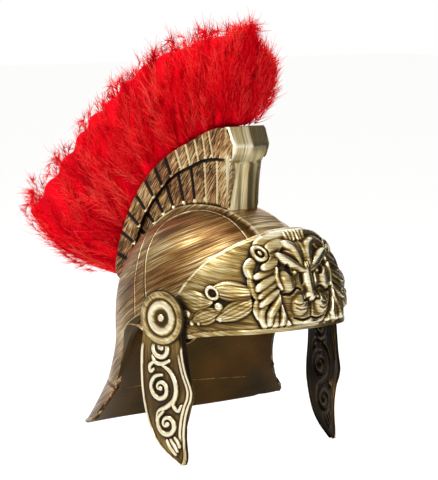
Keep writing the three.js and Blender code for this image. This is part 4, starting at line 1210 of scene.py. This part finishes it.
def add_strands(shape, paths, widths, shades):
    """Closed, tapered, three-sided strands along the paths, paler towards their tips."""
    count, steps = paths.shape[:2]
    ahead = unit(np.gradient(paths, axis=1))
    helper = np.where(np.abs(ahead[..., :1]) < 0.8, [[[1.0, 0, 0]]], [[[0, 0, 1.0]]])
    side = unit(np.cross(ahead, helper))
    other = np.cross(ahead, side)
    half = np.linspace(1, 0.25, steps)[None, :, None, None] * widths[:, None, None, None] / 2
    angle = np.array([[0], [2], [4]]) * math.pi / 3
    section = np.cos(angle) * side[:, :, None] + np.sin(angle) * other[:, :, None]
    first = np.arange(count)[:, None] * steps * 3
    walls = (first[:, None] + wall_faces(steps, 3)).reshape(-1, 4)
    roots, tips = first + (2, 1, 0), first + (steps - 1) * 3 + (0, 1, 2)
    fade = shades[:, None] + np.linspace(0, 0.25, steps)[None, :]
    shape.add(paths[:, :, None] + half * section,
              walls.tolist() + roots.tolist() + tips.tolist(), np.repeat(fade.ravel(), 3))


# Of each quill: points along it, barbs on it, points of a barb. No barb goes behind REAR_LIMIT.
QUILL_POINTS = 14
BARBS_EACH = 52
BARB_STEPS = 3
REAR_LIMIT = 318.0
REAR_SOFT = 10


def make_barbs(chance, quills, end=0):
    """Barbs of feathers that lie along the plume's flow, most of them near its surface.
    End -1 and 1 cover the plume's front and rear faces instead of its sides."""
    spread_out = (quills, BARBS_EACH)
    along0 = chance.random(quills) if end == 0 else 0.5 + end * (0.5 - 0.03 * chance.random(quills))
    start = np.where(chance.random(quills) < 0.22, chance.uniform(0.55, 0.85, quills),
                     chance.uniform(-0.1, 0.6, quills))
    start = np.maximum(start, 0)
    run = chance.uniform(0.22, 0.42, quills)
    near = chance.random(quills) < 0.85
    depth = np.where(near, chance.uniform(0.8, 1.02, quills), chance.uniform(0, 0.8, quills))
    depth *= np.where(chance.random(quills) < 0.5, 1, -1)
    depth = np.where(start > 0.58, chance.uniform(-1, 1, quills), depth)
    if end:
        depth = chance.uniform(-0.95, 0.95, quills)
    drift = chance.normal(0, 0.035, quills) * (end == 0)
    t = np.linspace(0, 1, QUILL_POINTS)[None, :]
    tip = chance.uniform(0.97, 1.09, quills)[:, None]
    out = np.minimum(start[:, None] + run[:, None] * t, tip)
    along = np.clip(along0[:, None] + drift[:, None] * t, 0, 1)
    quill, half = plume_at(along, out)
    quill[..., 0] = depth[:, None] * half * (1 + 0.1 * t)
    place = chance.random(spread_out)
    low = np.clip((place * (QUILL_POINTS - 1)).astype(int), 0, QUILL_POINTS - 2)
    part = (place * (QUILL_POINTS - 1) - low)[..., None]
    part = (place * 13 - low)[..., None]
    row = np.arange(quills)[:, None]
    root = quill[row, low] * (1 - part) + quill[row, low + 1] * part
    ahead = unit(quill[row, low + 1] - quill[row, low])
    face = np.zeros_like(ahead)
    face[..., 0] = np.sign(depth)[:, None]
    if end:
        step, _ = plume_at(np.clip(along0[:, None] - end * 0.03, 0, 1), out[row, low])
        here, _ = plume_at(along0[:, None] + 0 * place, out[row, low])
        face = unit(here - step)
        root = root + face * chance.uniform(-1, 8, (quills, 1, 1))
    sideways = unit(np.cross(ahead, face))
    flat = np.where(chance.random(spread_out) < 0.5, 1, -1)[..., None]
    twist = np.abs(chance.normal(0, 0.5, (quills, 1, 1)))
    away = unit(sideways * flat * np.cos(twist) + face * np.sin(twist))
    spread = np.radians(chance.uniform(12, 58, spread_out))[..., None]
    lift = chance.normal(0.1, 0.16, (*spread_out, 1))
    heading = unit(ahead * np.cos(spread) + away * np.sin(spread) + face * lift)
    length = chance.uniform(9, 21, spread_out) * (1 - 0.35 * place)
    length = (length * np.where(chance.random(spread_out) < 0.14, 1.6, 1))[..., None]
    curl = unit(ahead + 0.4 * face * chance.normal(0, 0.5, (*spread_out, 1))
                + chance.normal(0, 0.3, (*spread_out, 3)))
    steps = np.linspace(0, 1, BARB_STEPS)
    paths = np.stack([root + length * (heading * s + 0.45 * (curl - heading) * s * s)
                      for s in steps], axis=2)
    past = np.maximum(paths[..., 1] - (REAR_LIMIT - REAR_SOFT), 0)
    paths[..., 1] += REAR_SOFT * np.tanh(past / REAR_SOFT) - past
    # Barbs near the plume's middle plane are painted darker: painted shade deep in the mass. The
    # random spread is the down's own tone.
    deep = np.clip(1 - np.abs(depth), 0, 1)[:, None] * (end == 0)
    shades = chance.normal(0.0, 0.12, spread_out) - 0.4 * deep + chance.normal(0, 0.2, (quills, 1))
    return paths.reshape(-1, BARB_STEPS, 3), shades.ravel()


def dyed_feather(name):
    """Dyed down: a saturated matt red, darkened by painted shade between the barbs and deep in the
    mass, and paler at their tips.
    """
    material, tree = new_material(name)
    shade = node(tree, "ShaderNodeAttribute", attribute_name="paint").outputs["Fac"]
    place = node(tree, "ShaderNodeTexCoord").outputs["Object"]
    fluff = noise(tree, place, 2, 2.0).outputs["Fac"]
    mottle = weighed(tree, -0.5 * 0.9, [(fluff, 0.9), (shade, 1.0)])
    tone = remapped(tree, mottle, From_Min=-0.8, From_Max=0.8)
    stops = [(0.0, "#8a0012"), (0.35, "#d80016"), (0.6, "#fc0820"), (1.0, "#ff6656")]
    colour = ramp(tree, tone, stops)
    surface(tree, {"Base Color": colour}, Roughness=0.75, Specular_IOR_Level=0.03)
    return material


red_down = dyed_feather("dyed_red_marabou")
core_shape = Shape()
make_plume_core(core_shape)
core = core_shape.piece("plume_core", red_down, crease=180)
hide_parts("plume")
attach(core, "helmet")
chance = np.random.default_rng(17)
for word in ("first", "second", "third"):
    batches = [make_barbs(chance, 203), make_barbs(chance, 20, -1), make_barbs(chance, 17, 1)]
    paths = np.concatenate([batch[0] for batch in batches])
    shades = np.concatenate([batch[1] for batch in batches])
    barb_shape = Shape()
    add_strands(barb_shape, paths, chance.uniform(0.4, 0.85, len(paths)), shades)
    barbs = barb_shape.piece(f"plume_barbs_{word}", red_down, crease=180)
    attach(barbs, "helmet")
